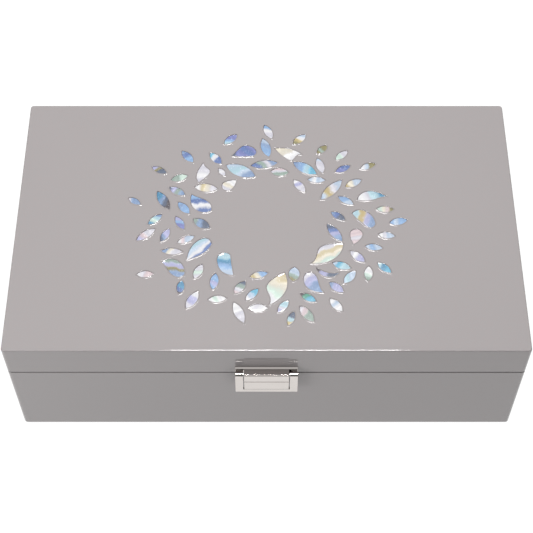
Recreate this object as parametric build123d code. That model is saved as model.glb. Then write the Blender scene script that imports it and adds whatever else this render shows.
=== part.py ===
from build123d import *
import math
import os

os.makedirs("parts", exist_ok=True)

# ---------------------------------------------------------------- driving dimensions, mm
# Origin: centre of the underside.  +X to the right, -Y to the front, +Z up.
BOX_WIDTH = 300.0
BOX_DEPTH = 179.0
BOX_HEIGHT = 92.0
SEAM_Z = 67.0
SEAM_GAP = 0.8
WALL = 9.0
FELT = 1.0
FELT_INSET = 3.0
FELT_CORNER = 2.0
BOTTOM_PANEL = 6.0
TOP_PANEL = 5.0

CORNER_ROUND = 2.0
FOOT_ROUND = 1.8
TOP_ROUND = 0.8
RIM_ROUND = 0.3

BOARD = 4.0
FLOOR_PAD = 2.0
LEDGE_TOP = 39.0
LINING = 1.2
RIM_LINING_TOP = SEAM_Z - 1.0

DIVIDER = 2.4
DIVIDER_TOP = 37.0
CROSS_AT_X = -45.0
LONG_AT_Y = 12.0
SHORT_AT_X = 46.0

TRAY_SIDE_GAP = 0.6
TRAY_LEDGE_GAP = 0.1
TRAY_FLOOR = 2.0
TRAY_WALL = 3.0
TRAY_TOP = 64.5
TRAY_DIVIDER = 2.0
TRAY_DIVIDER_TOP = 61.0
TRAY_LONG_AT_X = (-60.0, -4.0, 52.0)
TRAY_CROSS_AT_Y = 25.0
ROLL_COUNT = 7
ROLL_GAP = 0.8
ROLL_TOP = 62.5
ROLL_ROUND = 9.0
ROLL_END_GAP = 0.4
RIBBON_WIDTH = 12.0
RIBBON_THICK = 0.8
RIBBON_TOP = 73.0
RIBBON_ROOM = 1.2
RIBBON_FOOT = 8.0
RIBBON_SPREAD = 5.2
RIBBON_TURN = 3.0
RIBBON_TAIL = 6.0

LID_LINING_LOW = SEAM_Z + 1.0
LINING_PAD = 2.0
MIRROR_WIDTH = 230.0
MIRROR_DEPTH = 120.0
MIRROR_THICK = 2.5
MIRROR_BEVEL = 6.0
MIRROR_BEVEL_DEEP = 1.0

HINGE_AT_X = 95.0
HINGE_LENGTH = 36.0
HINGE_STOP_HALF_ANGLE = 50.25
KNUCKLE_R = 1.8
KNUCKLE_COUNT = 5
KNUCKLE_GAP = 0.2
BARREL_CLEAR = 0.3
HINGE_PIN_R = 0.9
PRESSED_BORE_R = 0.92
RUNNING_BORE_R = 0.95
LEAF_THICK = 0.9
LEAF_REACH = 6.4
LEAF_SIDE_CLEAR = 0.1
HINGE_SCREW_AT_X = 11.0
HINGE_SCREW_R = 0.8
HINGE_SCREW_LONG = 6.5
HINGE_SCREW_BACK = 4.096
HINGE_HEAD_R = 1.7
HINGE_HEAD_HIGH = 0.5
PILOT_CLEAR = 0.05
PIN_CHAMFER = 0.2

# Clasp parts: halves are half widths, a depth is measured out of the front, a height from the seam.
CLASP_HALF = 18.0
CLASP_BLOCK_HALF = 13.0
CLASP_DEPTH = 6.1
CLASP_PLATE = 1.45
CLASP_PLATE_TOP = 7.3
CLASP_BLOCK_TOP = 6.7
CLASP_BEVEL_DEEP = 1.0
CLASP_BEVEL_HIGH = 0.58
CLASP_CORNER = 0.3
CLASP_PIN_R = 1.0
CLASP_PIN_PRESS = 0.02
CLASP_PIN_RUN = 0.06
CLASP_PIN_OUT = 4.2
CLASP_PIN_UP = 4.9
BAIL_LOW = -12.8
BAIL_BAR = 3.2
BAIL_ARM = 4.5
BAIL_EYE_R = 1.8
BAIL_OUTER = 6.0
BAIL_INNER = 4.2
BAIL_ROUND = 0.4
BAIL_RIB_HALF = 10.0
BAIL_RIB_DEPTH = 3.8
BAIL_RIB_LOW = -11.0
BAIL_TOP = BAIL_LOW + BAIL_BAR
TONGUE_LOW = -9.2
TONGUE_INNER = 4.6
CLASP_LINE = (-0.65, -0.15)
CLASP_LINE_DEEP = 0.4
KEEPER_PLATE = 1.2
KEEPER_PLATE_SPAN = (-10.5, -0.5)
KEEPER_HALF = 11.0
KEEPER_DEPTH = 3.4
KEEPER_SPAN = (-9.2, -1.0)
SPRING_HALF = 4.0
SPRING_THICK = 0.6
SPRING_SPAN = (-9.2, -5.8)
SPRING_SLOT_CLEAR = 0.4
NOSE_DEPTH = 4.4
NOSE_SPAN = (-9.4, -8.7)
CLASP_SCREW_R = 1.25
CLASP_SCREW_CLEAR = 0.03
CLASP_HEAD_R = 2.3
CLASP_SINK_R = 2.5
CLASP_HEAD_HIGH = 1.3
CLASP_SINK = 1.6
KEEPER_SCREW_AT_X = 7.0
KEEPER_SCREW_UP = -5.0
KEEPER_SCREW_BITE = 2.7
BRACKET_SCREW_AT_X = 8.0
BRACKET_SCREW_UP = 3.1
BRACKET_SCREW_BITE = 2.6
SCREW_CROSS_HALF = 0.18
SCREW_CROSS_SHARE = 0.6

BUMPER_R = 3.0
BUMPER_THICK = 0.7
BUMPER_ROUND = 0.2
BUMPER_AT_X = 120.0

LEAF_RISE = 0.5

# ---------------------------------------------------------------- derived places
HALF_X = BOX_WIDTH / 2
HALF_Y = BOX_DEPTH / 2
RIM_LOW = SEAM_Z - SEAM_GAP / 2
RIM_HIGH = SEAM_Z + SEAM_GAP / 2
CAVITY_X = HALF_X - WALL
CAVITY_Y = HALF_Y - WALL
PANEL_TOP = FELT + BOTTOM_PANEL
PAD_TOP = PANEL_TOP + FLOOR_PAD
CEILING = BOX_HEIGHT - TOP_PANEL
PAD_UNDER = CEILING - LINING_PAD
HINGE_Y = HALF_Y - KNUCKLE_R
HINGE_SCREW_Y = HINGE_Y - HINGE_SCREW_BACK
LEDGE_X = CAVITY_X - BOARD
LEDGE_Y = CAVITY_Y - BOARD
LINED_X = CAVITY_X - LINING
LINED_Y = CAVITY_Y - LINING
TRAY_X = LINED_X - TRAY_SIDE_GAP
TRAY_Y = LINED_Y - TRAY_SIDE_GAP
TRAY_LOW = LEDGE_TOP + TRAY_LEDGE_GAP
TRAY_FLOOR_TOP = TRAY_LOW + TRAY_FLOOR
TRAY_INNER_X = TRAY_X - TRAY_WALL
TRAY_INNER_Y = TRAY_Y - TRAY_WALL
KNUCKLE_LONG = (HINGE_LENGTH - (KNUCKLE_COUNT - 1) * KNUCKLE_GAP) / KNUCKLE_COUNT


# ---------------------------------------------------------------- small helpers
def block(x, y, z):
    """Box between a low and a high value on each axis."""
    spans = (x, y, z)
    sizes = [high - low for low, high in spans]
    middle = [(high + low) / 2 for low, high in spans]
    return Pos(*middle) * Box(*sizes)


def rod(centre, radius, length, along):
    """Cylinder centred on a point, along X, Y or Z."""
    turn = {"X": (0, 90, 0), "Y": (90, 0, 0), "Z": (0, 0, 0)}[along]
    return Pos(*centre) * Rot(*turn) * Cylinder(radius, length)


def prism_along_x(points, low, high):
    """Prism with a (y, z) outline, from x = low to x = high."""
    outline = make_face(Polyline([(low, y, z) for y, z in points], close=True))
    return extrude(outline, high - low, dir=(1, 0, 0))


def prism_up(points, low, high):
    """Prism with an (x, y) outline, from z = low to z = high."""
    outline = make_face(Polyline([(x, y, low) for x, y in points], close=True))
    return extrude(outline, high - low, dir=(0, 0, 1))


def write(name, *pieces):
    """Save one named sub-part; loose identical pieces share a file."""
    solids = [solid for piece in pieces for solid in piece.solids()]
    shape = solids[0] if len(solids) == 1 else Compound(solids)
    export_step(shape, f"parts/{name}.step")


def screw(radius, head_r, head_high, length):
    """Countersunk-style screw along -Z: flat head top at z = 0, cross recess."""
    body = rod((0, 0, -head_high / 2), head_r, head_high, "Z")
    body += rod((0, 0, -length / 2), radius, length, "Z")
    long = head_r * SCREW_CROSS_SHARE
    deep = head_high * SCREW_CROSS_SHARE
    slot = block((-long, long), (-SCREW_CROSS_HALF, SCREW_CROSS_HALF), (-deep, 0.1))
    return body - slot - Rot(0, 0, 90) * slot


# ---------------------------------------------------------------- case: base and lid shells
def outer_shell(low, high, low_round, high_round):
    """Solid outer form between two heights with every edge rounded."""
    shell = block((-HALF_X, HALF_X), (-HALF_Y, HALF_Y), (low, high))
    shell = fillet(shell.edges().filter_by(Axis.Z), CORNER_ROUND)
    shell = fillet(shell.edges().group_by(Axis.Z)[0], low_round)
    return fillet(shell.edges().group_by(Axis.Z)[-1], high_round)


def mitre(side):
    """Wedge that holds one wall of the case, cut at 45 degrees to its neighbours."""
    out = 1.0
    x = HALF_X + out
    y = HALF_Y + out
    ridge = x - y
    corners = {
        "front": [(-x, -y), (x, -y), (ridge, 0), (-ridge, 0)],
        "back": [(x, y), (-x, y), (-ridge, 0), (ridge, 0)],
        "left": [(-x, y), (-x, -y), (-ridge, 0)],
        "right": [(x, -y), (x, y), (ridge, 0)],
    }[side]
    return prism_up(corners, 0, BOX_HEIGHT)


def hinge_groove():
    """V along the whole back seam whose flanks meet and stop the lid."""
    reach = 4.0
    rise = reach * math.tan(math.radians(HINGE_STOP_HALF_ANGLE))
    corners = [(HINGE_Y, SEAM_Z), (HINGE_Y + reach, SEAM_Z - rise), (HINGE_Y + reach, SEAM_Z + rise)]
    return prism_along_x(corners, -HALF_X - 1, HALF_X + 1)


def hinge_recess(x):
    """Round trough for the barrel plus the two leaf mortises at one hinge."""
    long = HINGE_LENGTH + 2 * BARREL_CLEAR
    trough = rod((x, HINGE_Y, SEAM_Z), KNUCKLE_R + BARREL_CLEAR, long, "X")
    half = HINGE_LENGTH / 2 + LEAF_SIDE_CLEAR
    front = HINGE_Y - LEAF_REACH - LEAF_SIDE_CLEAR
    depth = SEAM_GAP / 2 + LEAF_THICK
    mortise = block((x - half, x + half), (front, HINGE_Y), (SEAM_Z - depth, SEAM_Z + depth))
    return trough + mortise


def hinge_pilots(x):
    """Screw pilots above and below the seam at one hinge."""
    long = 2 * (HINGE_SCREW_LONG + SEAM_GAP / 2 + 0.1)
    return [
        rod((x + dx, HINGE_SCREW_Y, SEAM_Z), HINGE_SCREW_R + PILOT_CLEAR, long, "Z")
        for dx in (-HINGE_SCREW_AT_X, HINGE_SCREW_AT_X)
    ]


def wall_screw_way(x, z, reach):
    """Hole through the front wall with a counterbore on the inside."""
    way = rod((x, -HALF_Y, z), CLASP_SCREW_R + CLASP_SCREW_CLEAR, 2 * WALL + 2, "Y")
    sink = rod((x, -CAVITY_Y, z), CLASP_SINK_R, 2 * reach, "Y")
    return way + sink


def case_walls():
    """Both rings of mitred walls with the hinge, stop and clasp cuts."""
    base = outer_shell(FELT, RIM_LOW, FOOT_ROUND, RIM_ROUND)
    lid = outer_shell(RIM_HIGH, BOX_HEIGHT, RIM_ROUND, TOP_ROUND)
    hollow = block((-CAVITY_X, CAVITY_X), (-CAVITY_Y, CAVITY_Y), (PANEL_TOP, CEILING))
    slab_low = block((-HALF_X, HALF_X), (-HALF_Y, HALF_Y), (0, PANEL_TOP))
    slab_high = block((-HALF_X, HALF_X), (-HALF_Y, HALF_Y), (CEILING, BOX_HEIGHT))
    write("base_bottom_panel", base & slab_low)
    write("lid_top_panel", lid & slab_high)
    cuts = [hinge_groove()]
    for x in (-HINGE_AT_X, HINGE_AT_X):
        cuts += [hinge_recess(x), *hinge_pilots(x)]
    for x in (-KEEPER_SCREW_AT_X, KEEPER_SCREW_AT_X):
        cuts.append(wall_screw_way(x, SEAM_Z + KEEPER_SCREW_UP, CLASP_SINK))
    for x in (-BRACKET_SCREW_AT_X, BRACKET_SCREW_AT_X):
        cuts.append(wall_screw_way(x, SEAM_Z + BRACKET_SCREW_UP, CLASP_SINK))
    for name, shell, slab in (("base", base, slab_low), ("lid", lid, slab_high)):
        ring = shell - hollow - slab
        for cut in cuts:
            ring -= cut
        for side in ("front", "back", "left", "right"):
            write(f"{name}_{side}_wall", ring & mitre(side))


# ---------------------------------------------------------------- hinges
def hinge_leaf(x, sign, mine, bore_r):
    """One leaf: sign -1 lies in the base rim, +1 in the lid rim; mine lists its knuckles."""
    start = x - HINGE_LENGTH / 2
    face = SEAM_Z + sign * SEAM_GAP / 2
    back = face + sign * LEAF_THICK
    flat = block(
        (start, start + HINGE_LENGTH), (HINGE_Y - LEAF_REACH, HINGE_Y), sorted((face, back))
    )
    for index in range(KNUCKLE_COUNT):
        middle = start + KNUCKLE_LONG / 2 + index * (KNUCKLE_LONG + KNUCKLE_GAP)
        if index in mine:
            flat += rod((middle, HINGE_Y, SEAM_Z), KNUCKLE_R, KNUCKLE_LONG, "X")
        else:
            long = KNUCKLE_LONG + 2 * KNUCKLE_GAP
            flat -= rod((middle, HINGE_Y, SEAM_Z), KNUCKLE_R + BARREL_CLEAR, long, "X")
    flat -= rod((x, HINGE_Y, SEAM_Z), bore_r, HINGE_LENGTH + 2, "X")
    for dx in (-HINGE_SCREW_AT_X, HINGE_SCREW_AT_X):
        flat -= rod((x + dx, HINGE_SCREW_Y, SEAM_Z), HINGE_SCREW_R + PILOT_CLEAR, 4, "Z")
        head = (x + dx, HINGE_SCREW_Y, face)
        flat -= rod(head, HINGE_HEAD_R + PILOT_CLEAR, 2 * HINGE_HEAD_HIGH, "Z")
    return flat


def hinges():
    """Two stop hinges with their pins and screws."""
    screws = {-1: [], 1: []}
    pins = []
    for side, x in (("left", -HINGE_AT_X), ("right", HINGE_AT_X)):
        write(f"hinge_base_leaf_{side}", hinge_leaf(x, -1, (0, 2, 4), PRESSED_BORE_R))
        write(f"hinge_lid_leaf_{side}", hinge_leaf(x, 1, (1, 3), RUNNING_BORE_R))
        pin = rod((x, HINGE_Y, SEAM_Z), HINGE_PIN_R, HINGE_LENGTH, "X")
        pins.append(chamfer(pin.edges(), PIN_CHAMFER))
        for dx in (-HINGE_SCREW_AT_X, HINGE_SCREW_AT_X):
            one = screw(HINGE_SCREW_R, HINGE_HEAD_R, HINGE_HEAD_HIGH, HINGE_SCREW_LONG)
            screws[-1].append(Pos(x + dx, HINGE_SCREW_Y, RIM_LOW) * one)
            screws[1].append(Pos(x + dx, HINGE_SCREW_Y, RIM_HIGH) * Rot(180, 0, 0) * one)
    write("hinge_pins", *pins)
    write("hinge_base_screws", *screws[-1])
    write("hinge_lid_screws", *screws[1])


# ---------------------------------------------------------------- clasp
def clasp_block(half, out, up):
    """Block in clasp terms: half width, distance out of the front face, height from the seam."""
    y = (-HALF_Y - out[1], -HALF_Y - out[0])
    return block((-half, half), y, (SEAM_Z + up[0], SEAM_Z + up[1]))


def clasp_rod(radius, half_length):
    """Cylinder on the bail's pivot line."""
    return rod((0, -HALF_Y - CLASP_PIN_OUT, SEAM_Z + CLASP_PIN_UP), radius, 2 * half_length, "X")


def clasp_screw_bore(x, up, bite):
    """Blind bore for a clasp screw that comes out through the front wall."""
    centre = (x, -HALF_Y, SEAM_Z + up)
    return rod(centre, CLASP_SCREW_R + CLASP_SCREW_CLEAR, 2 * (bite + 0.1), "Y")


def clasp_bevelled(half, out, up):
    """Clasp block whose front top edge is bevelled."""
    solid = clasp_block(half, out, up)
    top_front = solid.edges().filter_by(Axis.X).group_by(Axis.Z)[-1].sort_by(Axis.Y)[0]
    top = solid.faces().sort_by(Axis.Z)[-1]
    return chamfer(top_front, CLASP_BEVEL_DEEP, CLASP_BEVEL_HIGH, reference=top)


def clasp_bracket():
    """Lid half: back plate, bearing block, and a tongue with a line across its front."""
    low = SEAM_GAP / 2
    plate = clasp_bevelled(CLASP_HALF, (0, CLASP_PLATE), (low, CLASP_PLATE_TOP))
    body = clasp_bevelled(CLASP_BLOCK_HALF, (0, CLASP_DEPTH), (low, CLASP_BLOCK_TOP))
    overlap = 0.2
    body += clasp_block(CLASP_BLOCK_HALF, (TONGUE_INNER, CLASP_DEPTH), (TONGUE_LOW, low + overlap))
    upright = body.edges().filter_by(Axis.Z).group_by(Axis.Y)[0]
    body = fillet(upright, CLASP_CORNER)
    groove = clasp_block(CLASP_HALF, (CLASP_DEPTH - CLASP_LINE_DEEP, CLASP_DEPTH + 1), CLASP_LINE)
    bracket = plate + body - groove - clasp_rod(CLASP_PIN_R + CLASP_PIN_PRESS, CLASP_HALF)
    for x in (-BRACKET_SCREW_AT_X, BRACKET_SCREW_AT_X):
        bracket -= clasp_screw_bore(x, BRACKET_SCREW_UP, BRACKET_SCREW_BITE)
    return bracket


def clasp_bail():
    """U-shaped bail: two eyes on the pin, two arms, a bar and the catch rib behind it."""
    bail = clasp_block(CLASP_HALF, (BAIL_INNER, BAIL_OUTER), (BAIL_LOW, BAIL_TOP))
    bail += clasp_block(BAIL_RIB_HALF, (BAIL_RIB_DEPTH, BAIL_INNER), (BAIL_RIB_LOW, BAIL_TOP))
    for side in (-1, 1):
        centre = side * (CLASP_HALF - BAIL_ARM / 2)
        arm = clasp_block(BAIL_ARM / 2, (BAIL_INNER, BAIL_OUTER), (BAIL_LOW, CLASP_PIN_UP))
        bail += Pos(centre, 0, 0) * arm
        bail += Pos(centre, 0, 0) * clasp_rod(BAIL_EYE_R, BAIL_ARM / 2)
    bail -= clasp_rod(CLASP_PIN_R + CLASP_PIN_RUN, CLASP_HALF + 1)
    low_edges = bail.edges().filter_by(Axis.X).group_by(Axis.Z)[0]
    return fillet(low_edges, BAIL_ROUND)


def clasp():
    """The whole clasp: lid bracket, pin, bail, keeper, spring nose and screws."""
    write("clasp_lid_bracket", clasp_bracket())
    pin = clasp_rod(CLASP_PIN_R, CLASP_HALF - 0.1)
    write("clasp_pin", chamfer(pin.edges(), PIN_CHAMFER))
    write("clasp_bail", clasp_bail())
    keeper = clasp_block(CLASP_BLOCK_HALF, (0, KEEPER_PLATE), KEEPER_PLATE_SPAN)
    keeper += clasp_block(KEEPER_HALF, (0, KEEPER_DEPTH), KEEPER_SPAN)
    slot_span = (SPRING_SPAN[0] - 1, SPRING_SPAN[1] + SPRING_SLOT_CLEAR)
    spring_back = KEEPER_DEPTH - SPRING_THICK
    keeper -= clasp_block(SPRING_HALF + SPRING_SLOT_CLEAR, (spring_back, KEEPER_DEPTH + 1), slot_span)
    for x in (-KEEPER_SCREW_AT_X, KEEPER_SCREW_AT_X):
        keeper -= clasp_screw_bore(x, KEEPER_SCREW_UP, KEEPER_SCREW_BITE)
    write("clasp_keeper", keeper)
    nose = clasp_block(SPRING_HALF, (spring_back, KEEPER_DEPTH), SPRING_SPAN)
    nose += clasp_block(SPRING_HALF, (spring_back, NOSE_DEPTH), NOSE_SPAN)
    write("clasp_keeper_spring", nose)
    for name, at_x, up, bite in (
        ("clasp_keeper_screws", KEEPER_SCREW_AT_X, KEEPER_SCREW_UP, KEEPER_SCREW_BITE),
        ("clasp_lid_screws", BRACKET_SCREW_AT_X, BRACKET_SCREW_UP, BRACKET_SCREW_BITE),
    ):
        head_y = -CAVITY_Y - CLASP_SINK + CLASP_HEAD_HIGH
        long = head_y + HALF_Y + bite
        one = Rot(-90, 0, 0) * screw(CLASP_SCREW_R, CLASP_HEAD_R, CLASP_HEAD_HIGH, long)
        write(name, *[Pos(x, head_y, SEAM_Z + up) * one for x in (-at_x, at_x)])


# ---------------------------------------------------------------- base fittings
def base_fittings():
    """Felt, floor pad, ledge boards, rim lining, dividers and rim bumpers."""
    felt_x = HALF_X - FELT_INSET
    felt_y = HALF_Y - FELT_INSET
    felt = block((-felt_x, felt_x), (-felt_y, felt_y), (0, FELT))
    write("base_felt", fillet(felt.edges().filter_by(Axis.Z), FELT_CORNER))
    whole_x = (-CAVITY_X, CAVITY_X)
    write("base_floor_pad", block(whole_x, (-CAVITY_Y, CAVITY_Y), (PANEL_TOP, PAD_TOP)))
    four_strips("base_ledge", (CAVITY_X, CAVITY_Y), BOARD, (PAD_TOP, LEDGE_TOP))
    four_strips("base_rim_lining", (CAVITY_X, CAVITY_Y), LINING, (LEDGE_TOP, RIM_LINING_TOP))
    half = DIVIDER / 2
    high = (PAD_TOP, DIVIDER_TOP)
    across = block((CROSS_AT_X - half, CROSS_AT_X + half), (-LEDGE_Y, LEDGE_Y), high)
    long = block((CROSS_AT_X + half, LEDGE_X), (LONG_AT_Y - half, LONG_AT_Y + half), high)
    short = block((SHORT_AT_X - half, SHORT_AT_X + half), (-LEDGE_Y, LONG_AT_Y - half), high)
    write("base_divider_across", across)
    write("base_divider_long", long)
    write("base_divider_short", short)
    dot = Cylinder(BUMPER_R, BUMPER_THICK)
    dot = fillet(dot.edges().group_by(Axis.Z)[-1], BUMPER_ROUND)
    spots = [(x, -HALF_Y + WALL / 2) for x in (-BUMPER_AT_X, BUMPER_AT_X)]
    write("rim_bumpers", *[Pos(x, y, RIM_LOW + BUMPER_THICK / 2) * dot for x, y in spots])


def four_strips(name, inside, thick, high):
    """Four boards round the inside of the case; front and back run the full width."""
    x, y = inside
    write(f"{name}_front", block((-x, x), (-y, -y + thick), high))
    write(f"{name}_back", block((-x, x), (y - thick, y), high))
    write(f"{name}_left", block((-x, -x + thick), (-y + thick, y - thick), high))
    write(f"{name}_right", block((x - thick, x), (-y + thick, y - thick), high))


# ---------------------------------------------------------------- lid fittings
def lid_fittings():
    """Lid lining, padded panel and bevelled mirror."""
    four_strips("lid_lining", (CAVITY_X, CAVITY_Y), LINING, (LID_LINING_LOW, PAD_UNDER))
    pad = block((-CAVITY_X, CAVITY_X), (-CAVITY_Y, CAVITY_Y), (PAD_UNDER, CEILING))
    write("lid_lining_pad", pad)
    half_x = MIRROR_WIDTH / 2
    half_y = MIRROR_DEPTH / 2
    glass = block((-half_x, half_x), (-half_y, half_y), (PAD_UNDER - MIRROR_THICK, PAD_UNDER))
    glass = chamfer(glass.edges().group_by(Axis.Z)[0], MIRROR_BEVEL_DEEP, MIRROR_BEVEL)
    write("lid_mirror", glass)


# ---------------------------------------------------------------- lift-out tray
def tray():
    """Tray floor, four walls, dividers, ring rolls and the two lifting ribbons."""
    whole = (TRAY_FLOOR_TOP, TRAY_TOP)
    floor = block((-TRAY_X, TRAY_X), (-TRAY_Y, TRAY_Y), (TRAY_LOW, TRAY_FLOOR_TOP))
    write("tray_floor", floor)
    for name, sign in (("front", -1), ("back", 1)):
        y = sorted((sign * TRAY_Y, sign * TRAY_INNER_Y))
        write(f"tray_{name}_wall", block((-TRAY_X, TRAY_X), y, whole))
    for name, sign in (("left", -1), ("right", 1)):
        x = sorted((sign * TRAY_X, sign * TRAY_INNER_X))
        write(f"tray_{name}_wall", block(x, (-TRAY_INNER_Y, TRAY_INNER_Y), whole))
    half = TRAY_DIVIDER / 2
    high = (TRAY_FLOOR_TOP, TRAY_DIVIDER_TOP)
    longs = [
        block((x - half, x + half), (-TRAY_INNER_Y, TRAY_INNER_Y), high) for x in TRAY_LONG_AT_X
    ]
    write("tray_long_dividers", *longs)
    left, middle, right = TRAY_LONG_AT_X
    shorts = []
    for y in (-TRAY_CROSS_AT_Y, TRAY_CROSS_AT_Y):
        for low, top in ((left, middle), (middle, right)):
            shorts.append(block((low + half, top - half), (y - half, y + half), high))
    shorts.append(block((right + half, TRAY_INNER_X - RIBBON_ROOM), (-half, half), high))
    write("tray_cross_dividers", *shorts)
    pitch = 2 * TRAY_INNER_Y / ROLL_COUNT
    roll = block(
        (-TRAY_INNER_X + RIBBON_ROOM, left - half - ROLL_END_GAP),
        (-(pitch - ROLL_GAP) / 2, (pitch - ROLL_GAP) / 2),
        (TRAY_FLOOR_TOP, ROLL_TOP),
    )
    roll = fillet(roll.edges().filter_by(Axis.X).group_by(Axis.Z)[-1], ROLL_ROUND)
    places = [-TRAY_INNER_Y + pitch * (index + 0.5) for index in range(ROLL_COUNT)]
    write("ring_rolls", *[Pos(0, y, 0) * roll for y in places])
    write("tray_pull_ribbons", *[pull_ribbon(sign) for sign in (-1, 1)])


def pull_ribbon(sign):
    """Ribbon loop glued inside a tray end wall and standing up above its rim."""
    low = TRAY_FLOOR_TOP + RIBBON_FOOT
    turn = RIBBON_TOP - RIBBON_TURN
    x = sign * (TRAY_INNER_X - RIBBON_THICK / 2)
    near = x - sign * RIBBON_SPREAD
    path = Line((x, 0, low), (x, 0, turn))
    middle = (x + near) / 2
    path += ThreePointArc((x, 0, turn), (middle, 0, turn + RIBBON_SPREAD / 2), (near, 0, turn))
    path += Line((near, 0, turn), (near, 0, turn - RIBBON_TAIL))
    start = Plane(origin=(x, 0, low), x_dir=(0, 1, 0), z_dir=(0, 0, 1))
    return sweep(start * Rectangle(RIBBON_WIDTH, RIBBON_THICK), path=path)


# ---------------------------------------------------------------- shell leaves on the lid
# Each leaf: x, y of its middle, length, width, direction of its point in degrees.
LEAVES = {
    "blue": [
        (-80.0, 14.5, 9.0, 4.0, -33), (-49.0, 48.5, 11.5, 5.0, -50), (-50.0, 9.5, 11.0, 5.0, -50),
        (-16.0, 37.5, 20.0, 8.5, -25), (-22.5, 62.0, 11.0, 5.0, 43), (-0.5, 55.5, 15.0, 6.0, -75),
        (23.5, 39.5, 17.0, 7.0, -32), (48.0, 15.0, 11.0, 4.5, -33), (43.0, 3.5, 10.5, 4.5, -35),
        (79.0, -0.5, 11.0, 5.0, 12), (63.5, -19.0, 10.5, 4.5, -8), (-31.5, 47.0, 11.0, 5.5, -50),
        (1.0, 68.0, 12.0, 5.0, -66), (62.5, 41.0, 10.5, 4.5, 22),
    ],
    "violet": [
        (47.0, 39.0, 10.5, 4.5, 27), (-52.0, -1.5, 11.0, 4.5, -60), (-60.5, -10.5, 10.5, 4.5, 62),
        (-30.5, -43.0, 11.5, 5.0, 82), (-50.0, -47.0, 9.5, 4.5, 82), (40.5, -47.0, 10.5, 5.0, -40),
        (-54.5, 22.0, 11.5, 5.0, -30), (33.0, 41.5, 12.0, 5.0, -75),
    ],
    "aqua": [
        (-67.0, 1.0, 11.0, 4.5, 42), (44.0, -32.0, 11.5, 5.0, -20), (69.0, -33.5, 10.5, 4.5, -42),
        (48.5, -40.0, 11.0, 5.0, 50), (-8.5, -52.0, 11.0, 4.5, 47), (14.0, -68.0, 10.0, 4.0, 68),
        (-62.5, 15.0, 16.0, 6.0, -60), (-39.0, -2.0, 12.0, 6.0, -32),
    ],
    "green": [
        (-66.0, 38.0, 10.5, 4.5, -28), (-53.5, 32.0, 11.0, 5.0, 20), (34.5, 54.0, 9.0, 4.5, 45),
        (46.5, 49.5, 10.5, 4.5, 43), (71.5, 8.5, 10.5, 4.5, -2), (24.0, -54.0, 10.5, 4.5, -30),
        (-28.5, -55.0, 11.0, 4.5, 5), (16.0, -38.0, 10.0, 6.5, 85), (40.5, -8.5, 15.5, 5.5, -55),
    ],
    "white": [
        (-27.5, 36.5, 7.0, 3.5, -55), (-1.5, 42.5, 17.0, 6.0, 8), (8.0, 36.5, 11.0, 6.0, -5),
        (30.5, 30.5, 11.0, 4.5, -3), (20.0, 26.0, 11.5, 5.0, -52),
        (71.5, -10.5, 10.0, 4.5, -8), (53.5, -25.5, 11.5, 5.0, -42), (40.0, -59.0, 11.0, 5.0, -50),
        (9.5, -60.0, 10.0, 4.5, 52), (-71.0, -38.0, 10.0, 4.5, 3), (-40.0, -36.0, 11.0, 5.0, 65),
        (-43.0, -55.5, 13.5, 5.5, 60), (-15.5, -47.0, 10.5, 5.0, 52), (-5.0, -61.0, 11.5, 5.0, 0),
    ],
    "rose": [
        (59.5, -37.5, 10.5, 5.0, 85), (23.0, -65.0, 13.0, 5.5, -52), (-72.0, -10.0, 14.0, 5.0, 38),
        (-48.0, -13.5, 11.0, 4.5, 25), (-16.0, -64.0, 15.5, 5.5, -66),
    ],
    "gold": [
        (-37.0, 24.5, 14.0, 6.0, -5), (20.5, 62.0, 11.0, 5.0, 43),
        (39.5, 23.0, 20.0, 6.5, 48), (53.0, 28.0, 11.5, 5.0, 28), (-4.5, -38.5, 11.0, 4.5, 15),
        (-56.0, -22.0, 13.0, 4.5, -3),
    ],
}
DROPS = {
    "rose": [(53.0, -11.5, 11.0, 7.5, 256)],
    "gold": [(-22.5, 27.0, 10.5, 7.0, 39)],
}
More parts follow.
